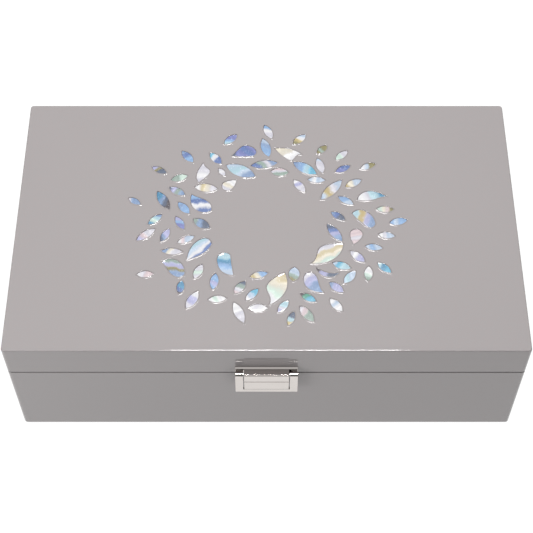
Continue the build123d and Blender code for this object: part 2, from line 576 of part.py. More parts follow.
# Larger slips sawn to freer shapes: (x, y) from tip to tip along one side, then back along the other.
SAWN_SLIPS = {
    "blue": [
        ([(-45.5, 19.5), (-39.5, 16.5), (-35.0, 13.5), (-33.5, 7.5)],
         [(-39.5, 6.5), (-44.0, 9.5), (-46.0, 14.5)]),
        ([(51.5, 5.5), (56.0, 8.0), (61.5, 5.5), (65.0, -3.0)], [(62.0, -5.0), (58.0, -2.0), (54.5, 1.5)]),
    ],
    "violet": [
        ([(-61.5, -29.5), (-57.5, -27.5), (-52.5, -28.5), (-49.0, -32.5), (-48.0, -38.0)],
         [(-51.5, -40.0), (-55.5, -38.0), (-59.0, -33.0)]),
        ([(23.5, -37.0), (27.5, -37.5), (30.0, -43.0), (33.0, -50.5)],
         [(28.5, -50.0), (23.5, -47.0), (21.5, -41.5)]),
        ([(-21.5, 49.0), (-18.0, 53.5), (-14.0, 57.0), (-6.5, 53.0), (-8.0, 49.0)], [(-14.5, 48.5)]),
        ([(29.0, -33.5), (32.0, -35.5), (35.5, -37.0), (42.5, -37.0)], [(37.5, -40.0), (33.0, -39.0)]),
    ],
    "aqua": [
        ([(-47.0, -28.0), (-45.5, -21.0), (-41.5, -15.0), (-36.5, -12.5), (-32.5, -16.5)],
         [(-35.5, -21.5), (-41.0, -25.5)]),
        ([(-21.5, -24.5), (-25.0, -23.0), (-28.5, -25.0), (-29.0, -30.0), (-27.0, -35.0), (-19.5, -38.5)],
         [(-20.5, -32.5)]),
        ([(55.0, 15.5), (57.5, 20.0), (62.5, 22.0), (67.5, 21.0), (73.0, 18.0)],
         [(68.5, 17.0), (62.5, 15.0), (57.5, 15.0)]),
    ],
    "white": [
        ([(-39.0, 43.5), (-37.0, 40.0), (-35.0, 37.5), (-37.5, 32.5), (-41.5, 28.5)],
         [(-43.0, 33.0), (-41.5, 39.0)]),
    ],
    "gold": [
        ([(5.0, 55.0), (11.0, 55.0), (17.0, 53.5), (22.0, 50.0)],
         [(18.0, 48.5), (15.0, 45.5), (13.0, 46.5), (8.5, 50.5)]),
        ([(26.0, -30.5), (29.5, -25.0), (31.5, -19.5), (37.0, -17.0), (45.5, -16.5)],
         [(44.0, -22.0), (40.0, -27.0), (33.5, -30.0)]),
        ([(1.5, -59.0), (1.5, -52.0), (0.0, -47.0), (4.0, -41.0), (10.5, -37.0)],
         [(12.0, -42.5), (10.5, -50.5), (6.0, -56.0)]),
    ],
}


def leaf_outline(length, width):
    """Two arcs that meet in two points."""
    tips = ((-length / 2, 0), (length / 2, 0))
    upper = ThreePointArc(tips[0], (0, width / 2), tips[1])
    lower = ThreePointArc(tips[1], (0, -width / 2), tips[0])
    return make_face(Curve() + [upper, lower])


def drop_outline(length, width):
    """Round at the left end, one point at the right."""
    radius = width / 2
    centre = radius - length / 2
    middle = (centre + length / 2) / 2
    belly = 0.7 * radius
    tip = (length / 2, 0)
    upper = ThreePointArc(tip, (middle, belly), (centre, radius))
    back = ThreePointArc((centre, radius), (-length / 2, 0), (centre, -radius))
    lower = ThreePointArc((centre, -radius), (middle, -belly), tip)
    return make_face(Curve() + [upper, back, lower])


def sawn_outline(there, back):
    """Two splines between two tips, one for each side."""
    return make_face(Curve() + [Spline(*there), Spline(there[-1], *back, there[0])])


def shell_leaves():
    """Thin shell slips set in the lacquer and standing a little proud of it."""
    for colour, leaves in LEAVES.items():
        slips = []
        for outline, places in ((leaf_outline, leaves), (drop_outline, DROPS.get(colour, []))):
            for x, y, length, width, direction in places:
                slip = extrude(outline(length, width), LEAF_RISE, dir=(0, 0, 1))
                slips.append(Pos(x, y, BOX_HEIGHT) * Rot(0, 0, direction) * slip)
        for there, back in SAWN_SLIPS.get(colour, []):
            slip = extrude(sawn_outline(there, back), LEAF_RISE, dir=(0, 0, 1))
            slips.append(Pos(0, 0, BOX_HEIGHT) * slip)
        write(f"shell_leaves_{colour}", *slips)


case_walls()
hinges()
clasp()
base_fittings()
lid_fittings()
tray()
shell_leaves()
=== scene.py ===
"""Lacquered jewellery box: shell-inlaid case, bail clasp, stop hinges, velvet lining and lift-out tray."""

import math
import random
from functools import partial

import bmesh
import bpy
from bpy.props import FloatProperty, FloatVectorProperty, IntProperty, PointerProperty
from bpy.types import Operator, Panel, PropertyGroup
from mathutils import Matrix, Vector, noise


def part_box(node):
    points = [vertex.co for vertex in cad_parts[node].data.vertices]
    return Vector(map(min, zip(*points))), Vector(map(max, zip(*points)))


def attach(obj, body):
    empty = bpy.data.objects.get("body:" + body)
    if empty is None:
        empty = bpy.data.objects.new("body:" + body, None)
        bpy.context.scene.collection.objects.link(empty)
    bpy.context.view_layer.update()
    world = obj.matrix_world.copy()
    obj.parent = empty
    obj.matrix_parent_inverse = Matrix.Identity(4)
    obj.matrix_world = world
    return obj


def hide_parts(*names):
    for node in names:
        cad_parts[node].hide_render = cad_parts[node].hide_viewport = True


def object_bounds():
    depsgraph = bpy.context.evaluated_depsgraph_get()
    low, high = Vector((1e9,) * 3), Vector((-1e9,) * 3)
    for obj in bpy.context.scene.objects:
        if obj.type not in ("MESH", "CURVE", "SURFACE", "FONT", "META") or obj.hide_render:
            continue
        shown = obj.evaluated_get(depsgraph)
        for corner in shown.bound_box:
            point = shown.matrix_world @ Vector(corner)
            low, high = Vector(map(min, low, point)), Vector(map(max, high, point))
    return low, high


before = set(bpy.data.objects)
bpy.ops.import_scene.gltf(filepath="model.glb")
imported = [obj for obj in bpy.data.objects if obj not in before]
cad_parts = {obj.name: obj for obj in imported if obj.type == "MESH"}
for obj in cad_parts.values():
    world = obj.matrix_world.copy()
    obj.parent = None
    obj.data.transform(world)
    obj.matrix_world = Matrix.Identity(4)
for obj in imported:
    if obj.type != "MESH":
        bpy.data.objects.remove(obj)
CAD_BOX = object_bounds()

bl_info = {
    "name": "Jewellery Box",
    "version": (1, 0, 0),
    "blender": (4, 5, 0),
    "location": "3D View > Sidebar > Jewellery Box",
    "description": "Finishes a lacquered jewellery box round its fixed frame",
    "category": "Object",
}

MM = 0.001
SIDES = ("front", "back", "left", "right")
SHELL_FAMILIES = ("blue", "violet", "aqua", "green", "white", "rose", "gold")
TONE_LETTERS = "abcd"

# ---------------------------------------------------------------- fixed sizes, in metres
SAME_PLACE = 0.000001  # points nearer than this are one

# Shell slips and the lacquer lips round them.
SLIP_STEP = 0.0004  # length of one stretch of an outline
SLIP_RINGS = (1.0, 0.82, 0.62, 0.42, 0.22)  # shares of the way from a slip's middle to its edge
SLIP_SLOPE = 0.03  # rise over run of a full tilt
SLIP_DIP = 0.8  # share of the rim height that a tilted edge may sink by
SLIP_GAP = 1.5  # gap between slip and bed, as a multiple of the slack
GLUE_AND_SHADE_DEEP = 0.00003  # from the top of the lip down to the glue line, whose dark colour is painted shade
TIP_FAN = 6  # steps in the fan of directions round a tip
LIP_PROFILE = (  # share of the lip's width out from the slip, share of its height up
    (-0.01, 0.92), (0.03, 0.98), (0.085, 1.0), (0.13, 0.96), (0.21, 0.84), (0.42, 0.53),
    (0.63, 0.215), (0.73, 0.088), (0.795, 0.025), (0.87, -0.005), (0.97, -0.04),
)

# Covered boards.
BOARD_CELL = 0.008  # largest cell of a board's mesh
FLOOR_CELL = 0.012  # the same for the wide boards of floor and tray floor
FLOOR_PAD_ROUND = 0.0009
BOARD_SWELLS = 45.0  # soft swells in a metre of board

# Ring rolls.
ROLL_INSET = (0.0004, 0.0005, 0.0)  # how much smaller the unstuffed cover is at its ends and sides
ROLL_HEADROOM = 0.0005
ROLL_ROUND = 0.0016
ROLL_CELL = 0.004
ROLL_ARCH = 0.86  # 1 is a full half-round top
ROLL_THREAD = 0.0016  # cell of the even mesh that is stuffed
ROLL_GLUED = 0.001  # height of the underside that is glued down
ROLL_STRETCH = 0.03  # share that the cover gives when it is filled
ROLL_CREASE = 0.006  # most that one roll is drawn in against the first

# Pull ribbons.
RIBBON_CLEAR = 0.0003  # from the sides of the space for a ribbon to the ribbon
RIBBON_HEADROOM = 0.0007
RIBBON_TAIL = 0.0055
RIBBON_THICK = 0.0004
RIBBON_WAVE = 0.0002
RIBBON_RISE_STEPS, RIBBON_TURN_STEPS, RIBBON_TAIL_STEPS, RIBBON_CELLS = 14, 12, 5, 8

# Padded panel of the lid.
PANEL_SWELL = 0.0009
PANEL_EDGE_WIDE, PANEL_EDGE_DEEP = 0.0015, 0.0008  # round of the panel's edge
PANEL_WAVER = 0.00012
PANEL_COLUMNS, PANEL_ROWS = 94, 54

# Piping round the mirror.
PIPING_RADIUS = 0.0009
PIPING_OUT, PIPING_SUNK = 0.9, 0.8  # how far out from the glass and down into it, in radii
PIPING_CORNER = 0.0022
PIPING_CORNER_STEPS, PIPING_SIDES = 6, 12

# Felt pad.
FELT_ROUND, FELT_WAVER, FELT_CELL = 0.0004, 0.00008, 0.01

# Stage: the floor, and each light's place, size and the point that it faces.
FLOOR_REACH = 30.0
FLOOR_DROP = 0.0002
STAGE_LIGHTS = {
    "top_box": ((0.04, 0.36, 1.5), (0.4, 0.5), (0.0, 0.0, 0.09)),
    "left_box": ((-0.55, -0.45, 0.3), (0.35, 0.35), (-0.15, -0.09, 0.05)),
    "right_key": ((1.9, -1.9, 0.8), (0.3, 0.3), (0.0, -0.09, 0.06)),
    "front_panel": ((0.0, -0.72, 1.25), (0.9, 0.45), (0.0, -0.05, 0.08)),
}

# ---------------------------------------------------------------- angles
OUTLINE_TIP = math.radians(35)  # an outline that turns by more has a tip there
FLAT_JOIN = math.radians(1.5)  # faces that meet flatter than this become one
WORN_EDGE = math.radians(30)  # metal edges sharper than this are worn round
# Edges sharper than these stay crisp in the shading.
CREASE_METAL, CREASE_SLIP, CREASE_PANEL = (math.radians(angle) for angle in (50, 20, 60))

# ---------------------------------------------------------------- tones of the shell
# Display colours from 0 to 255.
SHELL_TONES = {
    "milk": (247, 246, 248), "pearl": (222, 220, 230), "ice": (196, 213, 234), "sky": (146, 184, 228),
    "powder": (138, 165, 204), "denim": (100, 126, 184), "slate": (96, 108, 132), "lilac": (186, 187, 226),
    "iris": (130, 138, 198), "aqua": (112, 192, 224), "lagoon": (82, 150, 188), "foam": (186, 220, 232),
    "mint": (214, 236, 224), "sage": (156, 176, 166), "emerald": (92, 168, 144), "olive": (150, 142, 96),
    "straw": (208, 188, 132), "honey": (226, 211, 172), "cream": (238, 230, 212), "blush": (226, 206, 210),
    "umber": (84, 76, 84),
}

# The tones of each slip by the place of its middle on the lid in millimetres: three or four names,
# and where they don't run from left to right along it, the way they run in degrees from +X.
SLIP_TONES = {
    (-80.0, 14.5): "pearl powder powder", (-49.0, 48.5): "powder denim sky", (-50.0, 9.5): "sky powder sky",
    (-16.0, 37.5): "ice foam ice powder 320", (-22.5, 62.0): "foam sky iris",
    (-0.5, 55.5): "ice powder sky", (23.5, 39.5): "powder sky foam aqua 330",
    (48.0, 15.0): "powder sky ice", (43.0, 3.5): "powder denim slate", (79.0, -0.5): "sky ice sky",
    (63.5, -19.0): "ice sky ice", (-31.5, 47.0): "aqua milk denim", (1.0, 68.0): "sky milk pearl",
    (62.5, 41.0): "milk ice olive", (47.0, 39.0): "iris iris denim", (-52.0, -1.5): "lilac sky iris",
    (-60.5, -10.5): "slate powder lilac", (-30.5, -43.0): "sky lilac sky",
    (-50.0, -47.0): "umber denim lagoon", (40.5, -47.0): "powder lilac lilac",
    (-54.5, 22.0): "slate lilac sage powder", (33.0, 41.5): "ice pearl pearl",
    (35.5, -37.5): "umber lilac slate", (-67.0, 1.0): "lagoon mint foam powder",
    (44.0, -32.0): "ice aqua foam", (69.0, -33.5): "foam lagoon aqua", (48.5, -40.0): "ice foam ice",
    (-8.5, -52.0): "milk ice aqua", (14.0, -68.0): "straw foam slate",
    (-62.5, 15.0): "lagoon powder slate umber 290", (-39.0, -2.0): "sage powder slate slate",
    (-66.0, 38.0): "lilac olive slate", (-53.5, 32.0): "sage sage mint", (34.5, 54.0): "olive sage olive",
    (46.5, 49.5): "mint mint pearl", (71.5, 8.5): "mint cream blush olive",
    (24.0, -54.0): "umber emerald aqua", (-28.5, -55.0): "milk mint milk", (16.0, -38.0): "olive sage ice",
    (40.5, -8.5): "slate denim lilac powder", (-39.3, 36.2): "pearl milk pearl",
    (-27.5, 36.5): "pearl milk pearl", (-1.5, 42.5): "denim sage pearl powder",
    (8.0, 36.5): "blush pearl sage sage 270", (30.5, 30.5): "ice milk ice",
    (20.0, 26.0): "milk lilac pearl", (71.5, -10.5): "milk pearl ice", (53.5, -25.5): "pearl milk lilac",
    (40.0, -59.0): "milk ice milk", (9.5, -60.0): "lilac pearl foam", (-71.0, -38.0): "milk pearl blush",
    (-40.0, -36.0): "pearl mint pearl", (-43.0, -55.5): "pearl lilac lilac milk",
    (-15.5, -47.0): "blush pearl sage slate", (-5.0, -61.0): "milk pearl milk",
    (59.5, -37.5): "sage mint milk", (23.0, -65.0): "pearl blush sage", (-72.0, -10.0): "lilac blush pearl",
    (-48.0, -13.5): "milk blush ice", (-16.0, -64.0): "milk milk pearl",
    (-37.0, 24.5): "milk honey cream pearl", (13.2, 52.4): "cream cream milk",
    (20.5, 62.0): "olive straw milk ice", (39.5, 23.0): "ice straw pearl ice",
    (53.0, 28.0): "straw cream ice", (-4.5, -38.5): "straw cream sky", (-56.0, -22.0): "powder cream pearl",
    (-39.8, 12.6): "sky denim milk denim 285", (59.0, 1.5): "foam straw lilac powder 330",
    (-14.2, 52.3): "slate iris denim iris", (27.2, -43.4): "pearl lilac powder 300",
    (-54.5, -33.5): "sage lilac olive powder 250", (64.0, 18.5): "milk pearl foam lagoon",
    (-39.3, -19.6): "foam ice milk denim 320", (-24.0, -30.5): "foam lagoon sky ice 280",
    (53.0, -11.5): "blush pearl blush", (-22.5, 27.0): "pearl cream milk",
    (36.2, -23.3): "pearl honey cream mint 300", (6.2, -48.2): "honey cream mint milk 235",
}


# ---------------------------------------------------------------- sizes and colours a user may change
def colour_property(name, description, default):
    """Property for one display colour, stored as linear light."""
    linear = tuple(linear_light(channel) for channel in default)
    return FloatVectorProperty(
        name=name, description=description, default=linear, subtype="COLOR", size=3, min=0.0, max=1.0
    )


def length_property(name, description, default):
    """Property for one length in metres."""
    return FloatProperty(
        name=name, description=description, default=default, unit="LENGTH", min=0.0, precision=5
    )


def share_property(name, description, default):
    """Property from 0 to 1."""
    return FloatProperty(
        name=name, description=description, default=default, subtype="FACTOR", min=0.0, max=1.0
    )


def power_property(name, description, default):
    """Property for the power of one light in watts."""
    return FloatProperty(name=name, description=description, default=default, unit="POWER", min=0.0)


def linear_light(channel):
    """Display value from 0 to 255 as linear light."""
    value = channel / 255.0
    return value / 12.92 if value <= 0.04045 else ((value + 0.055) / 1.055) ** 2.4


class LacquerSettings(PropertyGroup):
    colour: colour_property("Lacquer", "Warm grey of the case", (129, 125, 125))
    cloud: share_property("Cloud", "How far the grey drifts over the panels", 0.05)
    ripple: length_property("Ripple", "Height of the polished coat's faint ripple", 0.0000025)


class ShellSettings(PropertyGroup):
    rim: length_property("Rim height", "Height of a slip's edge over the lid", 0.0001)
    crown: length_property("Crown", "How far a slip's middle stands over its edge", 0.00006)
    collar: length_property("Collar height", "Height of the lacquer lip round each slip", 0.00026)
    reach: length_property("Collar width", "How far the lip runs out from a slip", 0.00095)
    tilt: share_property("Tilt", "How much slips lean from level", 0.5)
    slack: length_property("Slack", "How far each slip lies off the middle of its bed", 0.00008)
    # The edge line's colour is glue painted dark as the shade in each slip's bed.
    edge: colour_property("Edge line", "Dark glue line round each slip", (66, 60, 64))
    # The bands' strength sets how strongly their painted highlight and painted shade show.
    bands: share_property("Growth bands", "Strength of the pearly bands", 0.36)
    depth: share_property("Tone depth", "Lightness of the shell's tones", 0.46)


class MetalSettings(PropertyGroup):
    nickel: colour_property("Nickel", "Polished nickel of clasp and hinges", (208, 202, 198))
    steel: colour_property("Steel", "Turned steel of pins and screws", (176, 174, 172))
    softness: length_property("Edge softness", "Round worn on to the metal's edges", 0.00004)


class LiningSettings(PropertyGroup):
    velvet: colour_property("Velvet", "Pile of the lining", (188, 182, 176))
    satin: colour_property("Satin", "Ribbons and piping", (196, 190, 186))
    felt: colour_property("Felt", "Pad under the case", (92, 88, 86))
    waver: length_property("Waver", "Unevenness of the covered boards", 0.00018)
    board_round: length_property("Board round", "Largest round on a covered board", 0.0012)
    stuffing: FloatProperty(
        name="Stuffing", description="Pressure that fills the ring rolls", default=4.0, min=0.0
    )
    settle: IntProperty(
        name="Settling steps", description="Steps that the stuffing takes", default=16, min=1
    )


class StageSettings(PropertyGroup):
    lens: FloatProperty(
        name="Lens", description="Focal length in millimetres", default=89.0, unit="CAMERA", min=1.0
    )
    distance: length_property("Distance", "Camera to the middle of the box", 0.8276)
    elevation: FloatProperty(
        name="Elevation", description="Camera angle over the floor",
        default=math.radians(57.11), subtype="ANGLE",
    )
    aim: FloatVectorProperty(
        name="Aim", description="Where the camera looks", default=(0.0, -0.0029, 0.046),
        subtype="TRANSLATION", size=3,
    )
    top_box: power_property("Top light", "Power of the soft box overhead", 38.5)
    left_box: power_property("Left light", "Power of the soft box on the left", 2.6)
    right_key: power_property("Key light", "Power of the small light on the right", 10.0)
    front_panel: power_property("Front light", "Power of the wide panel over the camera", 0.72)
    room_light: FloatProperty(
        name="Room light", description="Strength of the room's even light",
        default=0.1, subtype="FACTOR", min=0.0,
    )


class JewelleryBoxSettings(PropertyGroup):
    lacquer: PointerProperty(type=LacquerSettings, name="Lacquer", description="Coat of the case")
    shell: PointerProperty(type=ShellSettings, name="Shell", description="Slips bedded in the lid")
    metal: PointerProperty(type=MetalSettings, name="Metal", description="Clasp, hinges and screws")
    lining: PointerProperty(type=LiningSettings, name="Lining", description="Velvet, satin and felt")
    stage: PointerProperty(type=StageSettings, name="Stage", description="Camera and lights")


def settings():
    """The settings of this scene's jewellery box."""
    return bpy.context.scene.jewellery_box


# ---------------------------------------------------------------- laying out materials
class Recipe:
    """Short-hand for laying out one material's nodes round its shader."""

    def __init__(self, name, **constants):
        """New material; constants are the shader's own values, named after its sockets."""
        self.material = bpy.data.materials.new(name)
        self.material.use_nodes = True
        self.tree = self.material.node_tree
        self.shader = self.tree.nodes["Principled BSDF"]
        for words, value in constants.items():
            socket = words.replace("_", " ").title().replace("Ior", "IOR")
            self.shader.inputs[socket].default_value = value
        coordinates = self.tree.nodes.new("ShaderNodeTexCoord")
        self.place = coordinates.outputs["Object"]

    def node(self, kind, inputs=(), **fields):
        """New node with its fields set and its inputs linked or filled in."""
        made = self.tree.nodes.new(kind)
        for name, value in fields.items():
            setattr(made, name, value)
        for socket, value in dict(inputs).items():
            self.feed(made.inputs[socket], value)
        return made

    def feed(self, socket, value):
        """Link an output to a socket, or set the socket's own value."""
        if isinstance(value, bpy.types.NodeSocket):
            self.tree.links.new(value, socket)
        else:
            socket.default_value = value

    def noise(self, scale, detail=3.0, roughness=0.55, place=None, stretch=None):
        """Soft random value from 0 to 1; scale is features per metre."""
        place = place or self.place
        if stretch:
            place = self.node("ShaderNodeMapping", {"Vector": place, "Scale": stretch}).outputs[0]
        made = self.node(
            "ShaderNodeTexNoise",
            {"Vector": place, "Scale": scale, "Detail": detail, "Roughness": roughness},
        )
        return made.outputs["Fac"]

    def attribute(self, name, output="Vector"):
        """A value painted on the mesh."""
        return self.node("ShaderNodeAttribute", attribute_name=name).outputs[output]

    def maths(self, operation, first, second=0.0, third=0.0):
        """One arithmetic step."""
        return self.node(
            "ShaderNodeMath", {0: first, 1: second, 2: third}, operation=operation
        ).outputs[0]

    def span(self, value, low, high, to_low=0.0, to_high=1.0):
        """Value carried smoothly from one range to another."""
        return self.node(
            "ShaderNodeMapRange",
            {"Value": value, "From Min": low, "From Max": high, "To Min": to_low, "To Max": to_high},
            interpolation_type="SMOOTHSTEP",
        ).outputs["Result"]

    def mix(self, share, first, second, blend="MIX"):
        """Blend of two colours."""
        made = self.node("ShaderNodeMix", data_type="RGBA", blend_type=blend)
        self.feed(made.inputs["Factor"], share)
        for socket, value in ((made.inputs[6], first), (made.inputs[7], second)):
            self.feed(socket, as_colour(value))
        return made.outputs[2]

    def bump(self, height, depth, under=None, into=("Normal",)):
        """Surface relief of a given depth in metres."""
        inputs = {"Height": height, "Distance": depth, "Strength": 1.0}
        if under:
            inputs["Normal"] = under
        out = self.node("ShaderNodeBump", inputs).outputs["Normal"]
        for socket in into:
            self.feed(self.shader.inputs[socket], out)
        return out

    def drive(self, socket, value):
        """Drive one of the shader's inputs."""
        self.feed(self.shader.inputs[socket], value)


def as_colour(value):
    """Three numbers as an opaque colour; outputs pass through."""
    if isinstance(value, bpy.types.NodeSocket) or len(value) == 4:
        return value
    return (*value, 1.0)


def shade(colour, by):
    """Colour made lighter or darker."""
    return tuple(min(1.0, channel * by) for channel in colour)


def lacquer():
    """Warm grey lacquer under a clear polished coat."""
    chosen = settings().lacquer
    recipe = Recipe(
        "warm_grey_lacquer", roughness=0.6, specular_ior_level=0.15, coat_weight=1.0, coat_roughness=0.02
    )
    drift = recipe.noise(9.0, detail=4.0)
    fleck = recipe.noise(700.0, detail=2.0)
    dark, light = (shade(chosen.colour, 1.0 + sign * chosen.cloud) for sign in (-1, 1))
    grey = recipe.mix(drift, dark, light)
    warm = tuple(c * w for c, w in zip(chosen.colour, (1.03, 0.985, 0.98)))
    recipe.drive("Base Color", recipe.mix(recipe.span(fleck, 0.35, 0.75, 0.0, 0.5), grey, warm))
    recipe.drive("Roughness", recipe.span(drift, 0.3, 0.7, 0.55, 0.68))
    recipe.bump(recipe.noise(150.0, detail=1.0), chosen.ripple, into=("Normal", "Coat Normal"))
    return recipe.material


def shell(family):
    """Iridescent shell whose four tones run over each slip, crossed by growth bands painted with lighter
    highlight streaks and darker shade streaks.
    """
    chosen = settings().shell
    recipe = Recipe(
        f"shell_{family}", roughness=0.45, specular_ior_level=0.3, coat_weight=1.0, coat_roughness=0.03
    )
    parts = recipe.node("ShaderNodeSeparateXYZ", {"Vector": recipe.attribute("slip_place")})
    along, across, draw = parts.outputs
    warp = recipe.noise(150.0, detail=3.0)
    fine = recipe.noise(1500.0, detail=2.0, stretch=(1.0, 0.4, 1.0))
    run = recipe.maths("MULTIPLY_ADD", recipe.maths("SUBTRACT", warp, 0.5), 0.5, along)
    run = recipe.maths("MULTIPLY_ADD", across, recipe.maths("MULTIPLY_ADD", draw, 0.3, -0.15), run)
    colour = recipe.attribute("tone_a", "Color")
    for tone, start in (("tone_b", 0.18), ("tone_c", 0.42), ("tone_d", 0.64)):
        colour = recipe.mix(recipe.span(run, start, start + 0.17), colour, recipe.attribute(tone, "Color"))
    # Growth bands: their light streaks are a painted highlight of the shell's lustre, and their dark
    # streaks are painted shade.
    pitch = recipe.maths("MULTIPLY_ADD", draw, 14.0, 12.0)
    own_start = recipe.maths("MULTIPLY", draw, 40.0)
    wave = recipe.maths("SINE", recipe.maths("MULTIPLY_ADD", run, pitch, own_start))
    pearly = recipe.maths("MULTIPLY", recipe.span(wave, 0.1, 1.0), recipe.span(warp, 0.35, 0.7, 0.3, 1.0))
    band_highlight_colour = recipe.mix(1.0, colour, (1.5, 1.5, 1.46), blend="MULTIPLY")
    colour = recipe.mix(recipe.maths("MULTIPLY", pearly, chosen.bands), colour, band_highlight_colour)
    shadow = recipe.maths("MULTIPLY", recipe.span(wave, -0.2, -1.0), recipe.span(fine, 0.3, 0.8, 0.2, 1.0))
    band_shade_colour = recipe.mix(1.0, colour, (0.62, 0.66, 0.78), blend="MULTIPLY")
    colour = recipe.mix(recipe.maths("MULTIPLY", shadow, chosen.bands), colour, band_shade_colour)
    # Fine streaks mixed towards white: painted sparkle along the shell's fine fibre.
    colour = recipe.mix(recipe.span(fine, 0.55, 0.8, 0.0, 0.22), colour, (0.97, 0.97, 0.97))
    recipe.drive("Base Color", colour)
    recipe.drive("Roughness", recipe.span(fine, 0.2, 0.8, 0.4, 0.55))
    recipe.bump(fine, 0.000006)
    return recipe.material


def glue_and_shade_line():
    """Dark line between a slip and the lacquer round it: glue, painted dark as the shade in the slip's bed.
    """
    chosen = settings().shell
    recipe = Recipe("dark_glue_line", roughness=0.9, specular_ior_level=0.1)
    line = recipe.mix(recipe.noise(900.0), shade(chosen.edge, 0.7), shade(chosen.edge, 1.4))
    recipe.drive("Base Color", line)
    recipe.bump(recipe.noise(2400.0), 0.00001)
    return recipe.material


def nickel():
    """Polished nickel with faint wiping marks."""
    colour = settings().metal.nickel
    recipe = Recipe("polished_nickel", metallic=1.0, roughness=0.06)
    cloud = recipe.noise(120.0, detail=3.0)
    wiped = recipe.noise(2600.0, detail=2.0, stretch=(0.06, 1.0, 1.0))
    recipe.drive("Base Color", recipe.mix(cloud, shade(colour, 0.95), shade(colour, 1.02)))
    recipe.drive("Roughness", recipe.span(recipe.maths("MULTIPLY", cloud, wiped), 0.1, 0.5, 0.04, 0.1))
    recipe.bump(wiped, 0.0000012)
    return recipe.material


def steel():
    """Turned steel with fine rings."""
    colour = settings().metal.steel
    recipe = Recipe("turned_steel", metallic=1.0, roughness=0.26)
    rings = recipe.noise(5200.0, detail=2.0, stretch=(1.0, 1.0, 0.1))
    recipe.drive("Base Color", recipe.mix(recipe.noise(300.0), shade(colour, 0.85), shade(colour, 1.05)))
    recipe.drive("Roughness", recipe.span(rings, 0.3, 0.7, 0.2, 0.36))
    recipe.bump(rings, 0.000003)
    return recipe.material


def velvet():
    """Short pile whose brushed patches are painted lighter and darker, as the shading of the turned nap."""
    colour = settings().lining.velvet
    recipe = Recipe(
        "silver_velvet", roughness=0.85, sheen_weight=0.8, sheen_roughness=0.35,
        sheen_tint=(0.97, 0.95, 0.93, 1.0),
    )
    brushed_pile_shade = recipe.noise(26.0, detail=4.0, roughness=0.6)
    pile = recipe.noise(3200.0, detail=3.0)
    tuft = recipe.noise(900.0, detail=2.0)
    # Brushed patches: painted shading of the nap, lighter and darker.
    grey = recipe.mix(recipe.span(brushed_pile_shade, 0.3, 0.7), shade(colour, 0.74), shade(colour, 1.08))
    recipe.drive("Base Color", recipe.mix(recipe.span(pile, 0.3, 0.75, 0.0, 0.4), grey, shade(colour, 0.5)))
    recipe.drive("Roughness", recipe.span(brushed_pile_shade, 0.3, 0.7, 0.95, 0.75))
    under = recipe.bump(tuft, 0.00006, into=())
    recipe.bump(pile, 0.00012, under=under)
    return recipe.material


def satin():
    """Ribbed satin for ribbons and piping."""
    colour = settings().lining.satin
    recipe = Recipe("ribbed_satin", roughness=0.38, sheen_weight=0.35, sheen_roughness=0.3)
    ribs = recipe.node(
        "ShaderNodeTexWave",
        {"Vector": recipe.place, "Scale": 420.0, "Distortion": 0.6, "Detail": 1.0},
        bands_direction="Z",
    ).outputs["Fac"]
    thread = recipe.noise(4200.0, detail=2.0)
    weave = recipe.mix(ribs, shade(colour, 0.82), shade(colour, 1.08))
    worn = recipe.span(thread, 0.3, 0.8, 0.0, 0.3)
    recipe.drive("Base Color", recipe.mix(worn, weave, shade(colour, 0.7)))
    recipe.drive("Roughness", recipe.span(thread, 0.3, 0.7, 0.32, 0.48))
    recipe.bump(ribs, 0.00006)
    return recipe.material


def felt():
    """Pressed wool felt with loose fibres."""
    colour = settings().lining.felt
    recipe = Recipe("pressed_felt", roughness=0.95, sheen_weight=0.4, sheen_roughness=0.6)
    fibre = recipe.noise(1900.0, detail=5.0, roughness=0.7, stretch=(1.0, 0.35, 1.0))
    crossed = recipe.noise(1900.0, detail=5.0, roughness=0.7, stretch=(0.35, 1.0, 1.0))
    mat = recipe.maths("MAXIMUM", fibre, crossed)
    wool = recipe.mix(recipe.span(mat, 0.4, 0.75), shade(colour, 0.6), shade(colour, 1.3))
    recipe.drive("Base Color", wool)
    recipe.drive("Roughness", recipe.span(mat, 0.3, 0.7, 1.0, 0.88))
    recipe.bump(mat, 0.00015)
    return recipe.material


def mirror_glass():
    """Silvered glass with the faintest haze of dust."""
    recipe = Recipe("silvered_mirror", metallic=1.0, roughness=0.02)
    haze = recipe.noise(40.0, detail=4.0)
    recipe.drive("Base Color", recipe.mix(haze, (0.86, 0.88, 0.88), (0.92, 0.93, 0.93)))
    recipe.drive("Roughness", recipe.span(haze, 0.4, 0.8, 0.008, 0.035))
    return recipe.material


def silicone():
    """Clear silicone of the rim bumpers."""
    recipe = Recipe("clear_silicone", roughness=0.3, coat_weight=0.4, coat_roughness=0.2)
    dust = recipe.noise(1400.0, detail=3.0)
    recipe.drive("Base Color", recipe.mix(dust, (0.3, 0.3, 0.3), (0.42, 0.42, 0.41)))
    recipe.drive("Roughness", recipe.span(dust, 0.3, 0.7, 0.22, 0.42))
    recipe.bump(dust, 0.00001)
    return recipe.material


FINISHES = {
    "lacquer": lacquer, "glue_and_shade": glue_and_shade_line, "nickel": nickel, "steel": steel, "velvet": velvet,
    "satin": satin, "felt": felt, "mirror": mirror_glass, "silicone": silicone,
    **{f"shell_{family}": partial(shell, family) for family in SHELL_FAMILIES},
}
MATERIALS = {}


def finish_named(name):
    """One shared material for each finish, made the first time it is asked for."""
    if name not in MATERIALS:
        MATERIALS[name] = FINISHES[name]()
    return MATERIALS[name]


def dress(node, finish):
    """Give a CAD node that keeps its own shape one of the finishes."""
    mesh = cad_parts[node].data
    mesh.materials.clear()
    mesh.materials.append(finish_named(finish))


# ---------------------------------------------------------------- mesh helpers
def new_object(name, data):
    """New object in the scene."""
    made = bpy.data.objects.new(name, data)
    bpy.context.scene.collection.objects.link(made)
    return made


